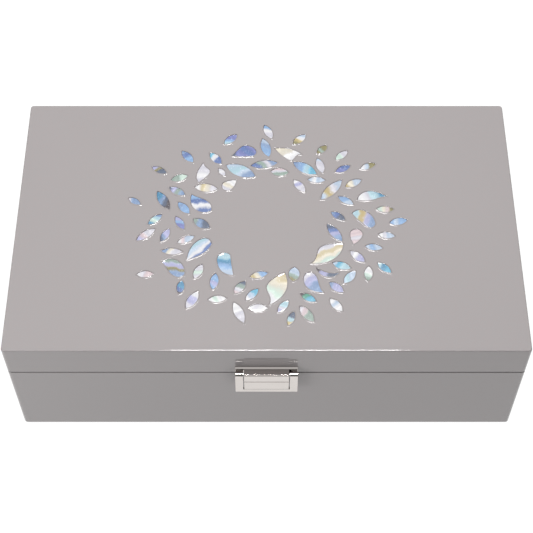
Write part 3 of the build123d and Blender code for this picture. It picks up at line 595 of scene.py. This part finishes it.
def place_piece(name, mesh, body, slot, *nodes):
    """Put a mesh in the scene as a piece that rides on a body and stands for CAD nodes."""
    piece = new_object(name, mesh)
    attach(piece, body)
    if nodes:
        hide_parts(*nodes)
    return piece


def add_piece(name, bm, finishes, body, slot, *nodes):
    """Turn a bmesh into a smooth-shaded piece with the named finishes."""
    mesh = bpy.data.meshes.new(name)
    bm.to_mesh(mesh)
    bm.free()
    mesh.shade_smooth()
    for finish in finishes:
        mesh.materials.append(finish_named(finish))
    return place_piece(name, mesh, body, slot, *nodes)


def keep_result(piece):
    """Make what a piece's modifiers give its own mesh."""
    graph = bpy.context.evaluated_depsgraph_get()
    result = bpy.data.meshes.new_from_object(piece.evaluated_get(graph), depsgraph=graph)
    materials = list(piece.data.materials)
    result.materials.clear()
    for material in materials:
        result.materials.append(material)
    piece.modifiers.clear()
    piece.data = result


def band(bm, first, second, closed=True):
    """Faces between two rows of vertices, all the way round if the rows are rings."""
    faces = []
    for i in range(len(first) if closed else len(first) - 1):
        j = (i + 1) % len(first)
        faces.append(bm.faces.new((first[i], first[j], second[j], second[i])))
    return faces


def by_place(point):
    """Key that sorts points by their place."""
    return tuple(round(part, 5) for part in point)


def joined_copy(node):
    """A bmesh of a CAD node with its split corners joined again."""
    bm = bmesh.new()
    bm.from_mesh(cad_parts[node].data)
    bmesh.ops.remove_doubles(bm, verts=bm.verts, dist=SAME_PLACE)
    return bm


def islands(bm):
    """Separate solids of a bmesh, as lists of vertices."""
    left = set(bm.verts)
    found = []
    while left:
        todo = [left.pop()]
        group = []
        while todo:
            vert = todo.pop()
            group.append(vert)
            for edge in vert.link_edges:
                other = edge.other_vert(vert)
                if other in left:
                    left.remove(other)
                    todo.append(other)
        found.append(group)
    return found


def solid_boxes(node):
    """Lowest and highest corner of every solid in a CAD node, sorted by place."""
    bm = joined_copy(node)
    boxes = []
    for group in islands(bm):
        corners = [[vert.co[axis] for vert in group] for axis in range(3)]
        boxes.append((Vector(map(min, corners)), Vector(map(max, corners))))
    bm.free()
    return sorted(boxes, key=lambda box: by_place(box[0]))


# ---------------------------------------------------------------- shell slips and their lacquer lips
def top_outlines(node):
    """Outline of the top face of every slip in a CAD node, anticlockwise, as flat points."""
    bm = joined_copy(node)
    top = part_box(node)[1].z
    # A dict keeps the faces in mesh order, so the outlines start at the same points in every run.
    flat = dict.fromkeys(f for f in bm.faces if all(abs(v.co.z - top) < SAME_PLACE for v in f.verts))
    following = {}
    for face in flat:
        for loop in face.loops:
            if sum(other in flat for other in loop.edge.link_faces) == 1:
                following[loop.vert] = loop.link_loop_next.vert
    outlines = []
    while following:
        start = vert = next(iter(following))
        outline = []
        while vert in following:
            outline.append(Vector(vert.co.xy))
            vert = following.pop(vert)
        if vert is start:
            outlines.append(outline)
    bm.free()
    return sorted(outlines, key=lambda points: by_place(points[0]))


def turn_at(points, index):
    """Angle that a closed outline turns through at one of its points."""
    before = points[index] - points[index - 1]
    after = points[(index + 1) % len(points)] - points[index]
    return before.angle(after, 0.0)


def rounded_outline(points):
    """Even outline through the given points that keeps only their real tips sharp."""
    count = len(points)
    tips = [i for i in range(count) if turn_at(points, i) > OUTLINE_TIP]
    points = points[tips[0]:] + points[:tips[0]]
    tips = [i - tips[0] for i in tips] + [count]
    even = []
    sharp = []
    for low, high in zip(tips, tips[1:]):
        run = [points[i % count] for i in range(low, high + 1)]
        run = [2 * run[0] - run[1], *run, 2 * run[-1] - run[-2]]
        sharp.append(len(even))
        for a, b, c, d in zip(run, run[1:], run[2:], run[3:]):
            pieces = max(1, round((c - b).length / SLIP_STEP))
            for k in range(pieces):
                t = k / pieces
                even.append(0.5 * (
                    2 * b + (c - a) * t + (2 * a - 5 * b + 4 * c - d) * t * t
                    + (3 * b - a - 3 * c + d) * t ** 3
                ))
    return even, sharp


def outward(points, sharp):
    """Point and outward direction all round; the tips get a fan of directions."""
    count = len(points)
    found = []
    for i, point in enumerate(points):
        before = (point - points[i - 1]).normalized()
        after = (points[(i + 1) % count] - point).normalized()
        sides = [Vector((d.y, -d.x)) for d in (before, after)]
        if i in sharp:
            turn = sides[0].angle_signed(sides[1], 0.0)
            for k in range(TIP_FAN + 1):
                spun = Matrix.Rotation(-turn * k / TIP_FAN, 2) @ sides[0]
                found.append((point, spun))
        else:
            found.append((point, (sides[0] + sides[1]).normalized()))
    return found


def middle_of(points):
    """Mean of an outline's points."""
    return sum(points, Vector((0, 0))) / len(points)


def add_slip(bm, points, level, lean, layers, look, draw):
    """One shell slip: a gently crowned face that lies low and right in its bed, and the bed's edge, painted
    dark as glue and shade.
    """
    chosen = settings().shell
    tones, heading = look
    middle = middle_of(points)
    far = max(points, key=lambda p: (p - middle).length)
    axis = (far - middle).normalized()
    axis = axis if axis.x > 0 else -axis
    if heading is not None:
        axis = Vector((math.cos(heading), math.sin(heading)))
    side = Vector((-axis.y, axis.x))
    steepest = SLIP_DIP * chosen.rim / (far - middle).length
    if lean.length > steepest:
        lean = lean * (steepest / lean.length)
    half_long = max(abs((p - middle).dot(axis)) for p in points)
    half_wide = max(abs((p - middle).dot(side)) for p in points)
    centre = middle + Vector((chosen.slack, -chosen.slack))
    inset = 1 - SLIP_GAP * chosen.slack / min(half_wide, half_long)

    glue_and_shade = level + chosen.collar - GLUE_AND_SHADE_DEEP
    rings = [[bm.verts.new((p.x, p.y, glue_and_shade)) for p in points]]
    for share in SLIP_RINGS:
        ring = []
        for p in points:
            spot = centre + (p - middle) * share * inset
            height = chosen.rim + chosen.crown * (1 - share * share) + (spot - middle).dot(lean)
            ring.append(bm.verts.new((spot.x, spot.y, level + height)))
        rings.append(ring)
    hub = bm.verts.new((centre.x, centre.y, level + chosen.rim + chosen.crown))

    place, *tone_layers = layers
    for vert in [*(v for ring in rings for v in ring), hub]:
        off = vert.co.xy - middle
        vert[place] = (0.5 + 0.5 * off.dot(axis) / half_long, off.dot(side) / half_wide, draw)
        for layer, tone in zip(tone_layers, tones):
            vert[layer] = (*tone, 1.0)

    # The ring round the slip's foot takes the glue line's finish: painted shade in the bed.
    for face in band(bm, rings[0], rings[1]):
        face.material_index = 1
    for outer, inner in zip(rings[1:], rings[2:]):
        band(bm, outer, inner)
    last = rings[-1]
    for i, vert in enumerate(last):
        bm.faces.new((vert, last[(i + 1) % len(last)], hub))


def add_lip(bm, points, sharp, level):
    """Lip of lacquer that creeps up to a slip."""
    chosen = settings().shell
    edge = outward(points, sharp)
    rings = []
    for out, up in LIP_PROFILE:
        ring = [point + way * out * chosen.reach for point, way in edge]
        rings.append([bm.verts.new((spot.x, spot.y, level + up * chosen.collar)) for spot in ring])
    for inner, outer in zip(rings, rings[1:]):
        band(bm, outer, inner)


def look_at(middle):
    """Four tones, and the way they run, of the slip whose listed middle is nearest."""
    nearest = min(SLIP_TONES, key=lambda spot: (Vector(spot) * MM - middle).length)
    names = SLIP_TONES[nearest].split()
    heading = math.radians(float(names.pop())) if names[-1].isdigit() else None
    names += names[-1:] * (len(TONE_LETTERS) - len(names))
    depth = settings().shell.depth
    return [tuple(depth * linear_light(c) for c in SHELL_TONES[name]) for name in names], heading


class JEWELBOX_OT_shell_slips(Operator):
    """Shell slips bedded in the lid, one piece for each colour family, and the lacquer lips round them"""

    bl_idname = "jewelbox.shell_slips"
    bl_label = "Shell Slips"

    def execute(self, context):
        slope = SLIP_SLOPE * settings().shell.tilt
        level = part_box("lid_top_panel")[1].z
        draws = random.Random(11)
        lips = bmesh.new()
        for family in SHELL_FAMILIES:
            node = f"shell_leaves_{family}"
            bm = bmesh.new()
            layers = [bm.verts.layers.float_vector.new("slip_place")]
            layers += [bm.verts.layers.float_color.new(f"tone_{letter}") for letter in TONE_LETTERS]
            for outline in top_outlines(node):
                points, sharp = rounded_outline(outline)
                lean = Vector((draws.uniform(-1, 1), draws.uniform(-1, 1))) * slope
                add_slip(bm, points, level, lean, layers, look_at(middle_of(points)), draws.random())
                add_lip(lips, points, sharp, level)
            finishes = (f"shell_{family}", "glue_and_shade")
            piece = add_piece(f"slips_{family}", bm, finishes, "lid", f"shell_{family}", node)
            piece.data.set_sharp_from_angle(angle=CREASE_SLIP)
        add_piece("lacquer_lips", lips, ("lacquer",), "lid", "lacquer")
        return {"FINISHED"}


# ---------------------------------------------------------------- lacquered case
class JEWELBOX_OT_case(Operator):
    """Lacquer on the panels and walls of base and lid, and silicone on the rim bumpers"""

    bl_idname = "jewelbox.case"
    bl_label = "Lacquered Case"

    def execute(self, context):
        for node in ("base_bottom_panel", "lid_top_panel"):
            dress(node, "lacquer")
        for side in SIDES:
            dress(f"base_{side}_wall", "lacquer")
            dress(f"lid_{side}_wall", "lacquer")
        dress("rim_bumpers", "silicone")
        return {"FINISHED"}


# ---------------------------------------------------------------- metalwork
def softened(node, name, body, width):
    """Nickel copy of a CAD metal part whose sharp edges are worn round, standing for it."""
    bm = joined_copy(node)
    bmesh.ops.dissolve_limit(bm, angle_limit=FLAT_JOIN, verts=bm.verts, edges=bm.edges)
    sharp = [e for e in bm.edges if len(e.link_faces) == 2 and e.calc_face_angle(0) > WORN_EDGE]
    bmesh.ops.bevel(
        bm, geom=sharp, offset=width, segments=3, profile=0.6, affect="EDGES", clamp_overlap=True
    )
    piece = add_piece(name, bm, ("nickel",), body, "nickel", node)
    piece.data.set_sharp_from_angle(angle=CREASE_METAL)
    weighted = piece.modifiers.new("even_flats", "WEIGHTED_NORMAL")
    weighted.keep_sharp = True


class JEWELBOX_OT_clasp(Operator):
    """Clasp with softened nickel edges: bracket, bail, pin, keeper, spring nose and screws"""

    bl_idname = "jewelbox.clasp"
    bl_label = "Clasp"

    def execute(self, context):
        width = settings().metal.softness
        softened("clasp_lid_bracket", "clasp_bracket_polished", "lid", width)
        softened("clasp_bail", "clasp_bail_polished", "bail", width)
        softened("clasp_keeper", "clasp_keeper_polished", "base", width)
        for node in ("clasp_pin", "clasp_lid_screws", "clasp_keeper_screws", "clasp_keeper_spring"):
            dress(node, "steel")
        return {"FINISHED"}


class JEWELBOX_OT_hinges(Operator):
    """Stop hinges with softened leaves, steel pins and cross-head screws"""

    bl_idname = "jewelbox.hinges"
    bl_label = "Hinges"

    def execute(self, context):
        width = settings().metal.softness / 2
        for side in ("left", "right"):
            for body in ("base", "lid"):
                node = f"hinge_{body}_leaf_{side}"
                softened(node, f"{node}_polished", body, width)
        for node in ("hinge_pins", "hinge_base_screws", "hinge_lid_screws"):
            dress(node, "steel")
        return {"FINISHED"}


# ---------------------------------------------------------------- covered boards
def board_mesh(low, high, rounding, waver, cell, seed):
    """Rounded, faintly uneven block between two corners, like board under pile fabric."""
    bm = bmesh.new()
    bmesh.ops.create_cube(bm, size=1.0)
    size = high - low
    middle = (high + low) / 2
    for vert in bm.verts:
        vert.co = Vector(part * length for part, length in zip(vert.co, size)) + middle
    bmesh.ops.bevel(
        bm, geom=list(bm.edges), offset=min(rounding, 0.45 * min(size)),
        segments=4, profile=0.5, affect="EDGES",
    )
    for axis in range(3):
        cuts = int(size[axis] / cell)
        for index in range(1, cuts + 1):
            spot = middle.copy()
            spot[axis] = low[axis] + size[axis] * index / (cuts + 1)
            way = Vector((0, 0, 0))
            way[axis] = 1.0
            everything = [*bm.verts, *bm.edges, *bm.faces]
            bmesh.ops.bisect_plane(bm, geom=everything, plane_co=spot, plane_no=way, dist=SAME_PLACE / 10)
    bm.normal_update()
    own_place = Vector((seed * 3.7, 0.0, seed))
    for vert in bm.verts:
        drift = 0.5 + 0.5 * noise.noise(vert.co * BOARD_SWELLS + own_place)
        vert.co -= vert.normal * waver * drift
    return bm


def covered_boards(node, body, rounding=None, cell=BOARD_CELL):
    """Velvet covered boards in place of a CAD node, one rounded block for each of its solids."""
    chosen = settings().lining
    whole = bmesh.new()
    for seed, (low, high) in enumerate(solid_boxes(node), start=len(node)):
        bm = board_mesh(low, high, rounding or chosen.board_round, chosen.waver, cell, seed)
        mesh = bpy.data.meshes.new("one_board")
        bm.to_mesh(mesh)
        bm.free()
        whole.from_mesh(mesh)
        bpy.data.meshes.remove(mesh)
    return add_piece(f"{node}_velvet", whole, ("velvet",), body, "velvet", node)


class JEWELBOX_OT_base_lining(Operator):
    """Velvet on the ledge boards, rim lining, floor and dividers of the base"""

    bl_idname = "jewelbox.base_lining"
    bl_label = "Base Lining"

    def execute(self, context):
        for side in SIDES:
            covered_boards(f"base_ledge_{side}", "base")
            covered_boards(f"base_rim_lining_{side}", "base")
        for part in ("across", "long", "short"):
            covered_boards(f"base_divider_{part}", "base")
        pad = covered_boards("base_floor_pad", "base", rounding=FLOOR_PAD_ROUND, cell=FLOOR_CELL)
        return {"FINISHED"}


class JEWELBOX_OT_tray(Operator):
    """Velvet covered floor, walls and dividers of the lift-out tray"""

    bl_idname = "jewelbox.tray"
    bl_label = "Tray"

    def execute(self, context):
        covered_boards("tray_floor", "tray", cell=FLOOR_CELL)
        for side in SIDES:
            covered_boards(f"tray_{side}_wall", "tray")
        covered_boards("tray_long_dividers", "tray")
        covered_boards("tray_cross_dividers", "tray")
        return {"FINISHED"}


# ---------------------------------------------------------------- ring rolls
def roll_cover(low, high):
    """Unstuffed cover of one ring roll: a bar with a round top, a little under size."""
    inset = Vector(ROLL_INSET)
    headroom = Vector((0, 0, ROLL_HEADROOM))
    bm = board_mesh(low + inset, high - inset - headroom, ROLL_ROUND, 0.0, ROLL_CELL, 1)
    half = (high.y - low.y) / 2 - inset.y
    middle = (high.y + low.y) / 2
    shoulder = high.z - ROLL_HEADROOM - half
    for vert in bm.verts:
        if vert.co.z > shoulder:
            rise = (vert.co.z - shoulder) / half
            across = vert.co.y - middle
            vert.co.y = middle + across * math.sqrt(max(0.0, 1 - rise * rise * ROLL_ARCH))
    return bm


def stuff(piece, low, high):
    """Fill a closed cover by cloth simulation; its glued underside stays put."""
    chosen = settings().lining
    scene = bpy.context.scene
    underside = [v.index for v in piece.data.vertices if v.co.z < low.z + ROLL_GLUED]
    piece.vertex_groups.new(name="glued").add(underside, 1.0, "REPLACE")
    cloth = piece.modifiers.new("stuffing", "CLOTH")
    cloth.settings.quality = 6
    cloth.settings.use_pressure = True
    cloth.settings.uniform_pressure_force = chosen.stuffing
    cloth.settings.shrink_min = -ROLL_STRETCH
    cloth.settings.vertex_group_mass = "glued"
    cloth.settings.effector_weights.gravity = 0.0
    cloth.collision_settings.use_collision = False
    cloth.point_cache.frame_end = chosen.settle
    for step in range(1, chosen.settle + 1):
        scene.frame_set(step)
    keep_result(piece)
    for vert in piece.data.vertices:
        vert.co = Vector(min(max(part, a), b) for part, a, b in zip(vert.co, low, high))
    scene.frame_set(1)


def next_roll(mesh, middle, shift, number):
    """Copy of the first roll's mesh: moved, every other one turned about, and drawn in its own way."""
    copied = mesh.copy()
    for vert in copied.vertices:
        off = vert.co - middle
        if number % 2 == 0:
            off.x, off.y = -off.x, -off.y
        crease = noise.noise(Vector((off.x * 60, off.y * 60, number * 5.1)))
        off *= 1.0 - ROLL_CREASE * (0.5 + 0.5 * crease)
        vert.co = middle + off + shift
    return copied


class JEWELBOX_OT_ring_rolls(Operator):
    """Stuffed velvet rolls that hold rings between them"""

    bl_idname = "jewelbox.ring_rolls"
    bl_label = "Ring Rolls"

    def execute(self, context):
        (low, high), *others = solid_boxes("ring_rolls")
        cover = roll_cover(low, high)
        first = add_piece("ring_roll_1", cover, ("velvet",), "tray", "velvet", "ring_rolls")
        remesh = first.modifiers.new("even_cover", "REMESH")
        remesh.mode = "VOXEL"
        remesh.voxel_size = ROLL_THREAD
        keep_result(first)
        stuff(first, low, high)
        first.data.shade_smooth()
        for number, (other_low, other_high) in enumerate(others, start=2):
            shift = (other_low + other_high - low - high) / 2
            mesh = next_roll(first.data, (low + high) / 2, shift, number)
            roll = place_piece(f"ring_roll_{number}", mesh, "tray", "velvet", "ring_rolls")
        return {"FINISHED"}


# ---------------------------------------------------------------- ribbons
def ribbon_path(low, high):
    """A ribbon's way up, over and back down: distance from the box's middle, and height."""
    outer = max(abs(low.x), abs(high.x)) - RIBBON_CLEAR
    inner = min(abs(low.x), abs(high.x)) + RIBBON_CLEAR
    reach = (outer - inner) / 2
    turn = high.z - RIBBON_HEADROOM - reach
    steps = RIBBON_RISE_STEPS
    path = [(outer, low.z + (turn - low.z) * k / steps) for k in range(steps + 1)]
    for k in range(1, RIBBON_TURN_STEPS):
        angle = math.pi * k / RIBBON_TURN_STEPS
        path.append((inner + reach + reach * math.cos(angle), turn + reach * math.sin(angle)))
    steps = RIBBON_TAIL_STEPS
    return path + [(inner, turn - RIBBON_TAIL * k / steps) for k in range(steps + 1)]


class JEWELBOX_OT_ribbons(Operator):
    """Satin ribbons that lift the tray: up the end wall, over, and back down"""

    bl_idname = "jewelbox.ribbons"
    bl_label = "Pull Ribbons"

    def execute(self, context):
        for number, (low, high) in enumerate(solid_boxes("tray_pull_ribbons"), start=1):
            sign, end = (-1, "left") if high.x < 0 else (1, "right")
            path = ribbon_path(low, high)
            width = high.y - low.y
            bm = bmesh.new()
            rows = []
            for step, (x, z) in enumerate(path):
                row = []
                for k in range(RIBBON_CELLS + 1):
                    wave = abs(RIBBON_WAVE * math.sin(k * math.pi / 4 + step * 0.6))
                    y = low.y + width * k / RIBBON_CELLS
                    row.append(bm.verts.new((sign * (x - wave), y, z)))
                rows.append(row)
            for a, b in zip(rows, rows[1:]):
                band(bm, a, b, closed=False)
            bmesh.ops.recalc_face_normals(bm, faces=bm.faces)
            ribbon = add_piece(
                f"pull_ribbon_{number}", bm, ("satin",), "tray", "ribbon", "tray_pull_ribbons"
            )
            thick = ribbon.modifiers.new("cloth_thickness", "SOLIDIFY")
            thick.thickness = RIBBON_THICK
            thick.offset = 0.0
        return {"FINISHED"}


# ---------------------------------------------------------------- lid lining
def padding_height(x, y, panel, glass):
    """How far the padded panel's underside lies from flat at a point: it swells beyond the glass."""
    (low, high), (glass_low, glass_high) = panel, glass
    wall = min(x - low.x, high.x - x, y - low.y, high.y - y)
    beyond = max(glass_low.x - x, x - glass_high.x, glass_low.y - y, y - glass_high.y)
    height = PANEL_EDGE_DEEP * max(0.0, 1 - wall / PANEL_EDGE_WIDE)
    height += PANEL_WAVER * noise.noise(Vector((x * 60, y * 60, 0)))
    room = wall + beyond
    if beyond > 0 and room > 0:
        share = wall / room
        height -= PANEL_SWELL * math.sin(math.pi * share) ** 0.6
    return height


class JEWELBOX_OT_lid_lining(Operator):
    """Velvet lining of the lid with its padded panel, the mirror and the satin piping round it"""

    bl_idname = "jewelbox.lid_lining"
    bl_label = "Lid Lining and Mirror"

    def execute(self, context):
        for side in SIDES:
            covered_boards(f"lid_lining_{side}", "lid")
        self.padded_panel()
        dress("lid_mirror", "mirror")
        self.piping()
        return {"FINISHED"}

    def padded_panel(self):
        """Panel behind the mirror that swells between the mirror's edge and the walls."""
        panel = low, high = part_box("lid_lining_pad")
        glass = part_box("lid_mirror")
        columns, rows = PANEL_COLUMNS, PANEL_ROWS
        bm = bmesh.new()
        grid = {}
        for i in range(columns + 1):
            for j in range(rows + 1):
                x = low.x + (high.x - low.x) * i / columns
                y = low.y + (high.y - low.y) * j / rows
                under = low.z + padding_height(x, y, panel, glass)
                grid["under", i, j] = bm.verts.new((x, y, under))
                grid["upper", i, j] = bm.verts.new((x, y, high.z))
        for face in ("under", "upper"):
            for i in range(columns):
                for j in range(rows):
                    corners = ((i, j), (i + 1, j), (i + 1, j + 1), (i, j + 1))
                    bm.faces.new([grid[face, a, b] for a, b in corners])
        border = [(i, 0) for i in range(columns)] + [(columns, j) for j in range(rows)]
        border += [(i, rows) for i in range(columns, 0, -1)] + [(0, j) for j in range(rows, 0, -1)]
        band(bm, [grid["under", a, b] for a, b in border], [grid["upper", a, b] for a, b in border])
        bmesh.ops.recalc_face_normals(bm, faces=bm.faces)
        pad = add_piece("lid_padded_panel", bm, ("velvet",), "lid", "velvet", "lid_lining_pad")
        pad.data.set_sharp_from_angle(angle=CREASE_PANEL)

    def piping(self):
        """Round satin piping in the angle between mirror and padding."""
        low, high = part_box("lid_mirror")
        out = PIPING_RADIUS * PIPING_OUT
        level = high.z - PIPING_RADIUS * PIPING_SUNK
        corners = (
            (high.x + out, high.y + out, 0), (low.x - out, high.y + out, 90),
            (low.x - out, low.y - out, 180), (high.x + out, low.y - out, 270),
        )
        path = []
        for x, y, start in corners:
            centre = Vector((x - math.copysign(PIPING_CORNER, x), y - math.copysign(PIPING_CORNER, y)))
            for k in range(PIPING_CORNER_STEPS + 1):
                angle = math.radians(start + 90 * k / PIPING_CORNER_STEPS)
                path.append(centre + PIPING_CORNER * Vector((math.cos(angle), math.sin(angle))))
        bm = bmesh.new()
        rings = []
        for index, point in enumerate(path):
            way = (path[(index + 1) % len(path)] - path[index - 1]).normalized()
            side = Vector((way.y, -way.x))
            ring = []
            for k in range(PIPING_SIDES):
                angle = math.tau * k / PIPING_SIDES
                spot = point + side * PIPING_RADIUS * math.cos(angle)
                height = level + PIPING_RADIUS * math.sin(angle)
                ring.append(bm.verts.new((spot.x, spot.y, height)))
            rings.append(ring)
        for a, b in zip(rings, rings[1:] + rings[:1]):
            band(bm, a, b)
        bmesh.ops.recalc_face_normals(bm, faces=bm.faces)
        add_piece("mirror_piping", bm, ("satin",), "lid", "ribbon")


# ---------------------------------------------------------------- felt pad
class JEWELBOX_OT_felt(Operator):
    """Felt pad under the case"""

    bl_idname = "jewelbox.felt"
    bl_label = "Felt Pad"

    def execute(self, context):
        bm = board_mesh(*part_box("base_felt"), FELT_ROUND, FELT_WAVER, FELT_CELL, 5)
        add_piece("felt_pad", bm, ("felt",), "base", "felt", "base_felt")
        return {"FINISHED"}


# ---------------------------------------------------------------- stage
class JEWELBOX_OT_stage(Operator):
    """Plain pale floor, soft lights, room light and the camera"""

    bl_idname = "jewelbox.stage"
    bl_label = "Stage"

    def execute(self, context):
        self.floor()
        for name in STAGE_LIGHTS:
            self.light(name)
        self.room()
        self.camera()
        context.scene.view_settings.view_transform = "Standard"
        return {"FINISHED"}

    def floor(self):
        """Seamless pale floor that glows enough to keep shadows faint."""
        bm = bmesh.new()
        bmesh.ops.create_grid(bm, x_segments=2, y_segments=2, size=FLOOR_REACH)
        mesh = bpy.data.meshes.new("floor")
        bm.to_mesh(mesh)
        bm.free()
        floor = new_object("floor", mesh)
        floor.location.z = CAD_BOX[0].z - FLOOR_DROP
        recipe = Recipe(
            "pale_floor", roughness=0.9, specular_ior_level=0.1,
            emission_color=(1.0, 1.0, 1.0, 1.0), emission_strength=1.0,
        )
        recipe.drive("Base Color", recipe.mix(recipe.noise(3.0), (0.03, 0.03, 0.03), (0.05, 0.05, 0.05)))
        mesh.materials.append(recipe.material)

    def light(self, name):
        """One rectangular light that faces a point."""
        spot, size, aim = STAGE_LIGHTS[name]
        data = bpy.data.lights.new(name, "AREA")
        data.shape = "RECTANGLE"
        data.size, data.size_y = size
        data.energy = getattr(settings().stage, name)
        lamp = new_object(name, data)
        lamp.location = spot
        lamp.rotation_euler = (Vector(aim) - Vector(spot)).to_track_quat("-Z", "Y").to_euler()

    def room(self):
        """Even room light."""
        world = bpy.data.worlds.new("room")
        world.use_nodes = True
        back = world.node_tree.nodes["Background"]
        back.inputs["Color"].default_value = (1.0, 1.0, 1.0, 1.0)
        back.inputs["Strength"].default_value = settings().stage.room_light
        bpy.context.scene.world = world

    def camera(self):
        """Camera in front of the box, looking down on it."""
        chosen = settings().stage
        data = bpy.data.cameras.new("camera")
        data.lens = chosen.lens
        camera = new_object("camera", data)
        back = Vector((0.0, -math.cos(chosen.elevation), math.sin(chosen.elevation)))
        camera.location = Vector(chosen.aim) + back * chosen.distance
        camera.rotation_euler = (-back).to_track_quat("-Z", "Y").to_euler()
        bpy.context.scene.camera = camera


# ---------------------------------------------------------------- panel and registration
PIECE_OPERATORS = (
    JEWELBOX_OT_stage,
    JEWELBOX_OT_case,
    JEWELBOX_OT_shell_slips,
    JEWELBOX_OT_clasp,
    JEWELBOX_OT_hinges,
    JEWELBOX_OT_base_lining,
    JEWELBOX_OT_tray,
    JEWELBOX_OT_ring_rolls,
    JEWELBOX_OT_ribbons,
    JEWELBOX_OT_lid_lining,
    JEWELBOX_OT_felt,
)
SETTING_GROUPS = (
    LacquerSettings, ShellSettings, MetalSettings, LiningSettings, StageSettings, JewelleryBoxSettings,
)


class JEWELBOX_PT_sidebar(Panel):
    """Lists the pieces of the jewellery box"""

    bl_idname = "JEWELBOX_PT_sidebar"
    bl_label = "Jewellery Box"
    bl_space_type = "VIEW_3D"
    bl_region_type = "UI"
    bl_category = "Jewellery Box"

    def draw(self, context):
        for operator in PIECE_OPERATORS:
            self.layout.operator(operator.bl_idname)


def register():
    """Register the settings, operators and panel."""
    for group in SETTING_GROUPS:
        bpy.utils.register_class(group)
    for cls in (*PIECE_OPERATORS, JEWELBOX_PT_sidebar):
        bpy.utils.register_class(cls)
    bpy.types.Scene.jewellery_box = PointerProperty(
        type=JewelleryBoxSettings, name="Jewellery Box", description="Sizes and colours of the box"
    )


def unregister():
    """Take the settings, operators and panel away again."""
    del bpy.types.Scene.jewellery_box
    for cls in (JEWELBOX_PT_sidebar, *reversed(PIECE_OPERATORS)):
        bpy.utils.unregister_class(cls)
    for group in reversed(SETTING_GROUPS):
        bpy.utils.unregister_class(group)


def main():
    """Make every piece in order."""
    register()
    for operator in PIECE_OPERATORS:
        family, name = operator.bl_idname.split(".")
        getattr(getattr(bpy.ops, family), name)()


if __name__ == "__main__":
    main()
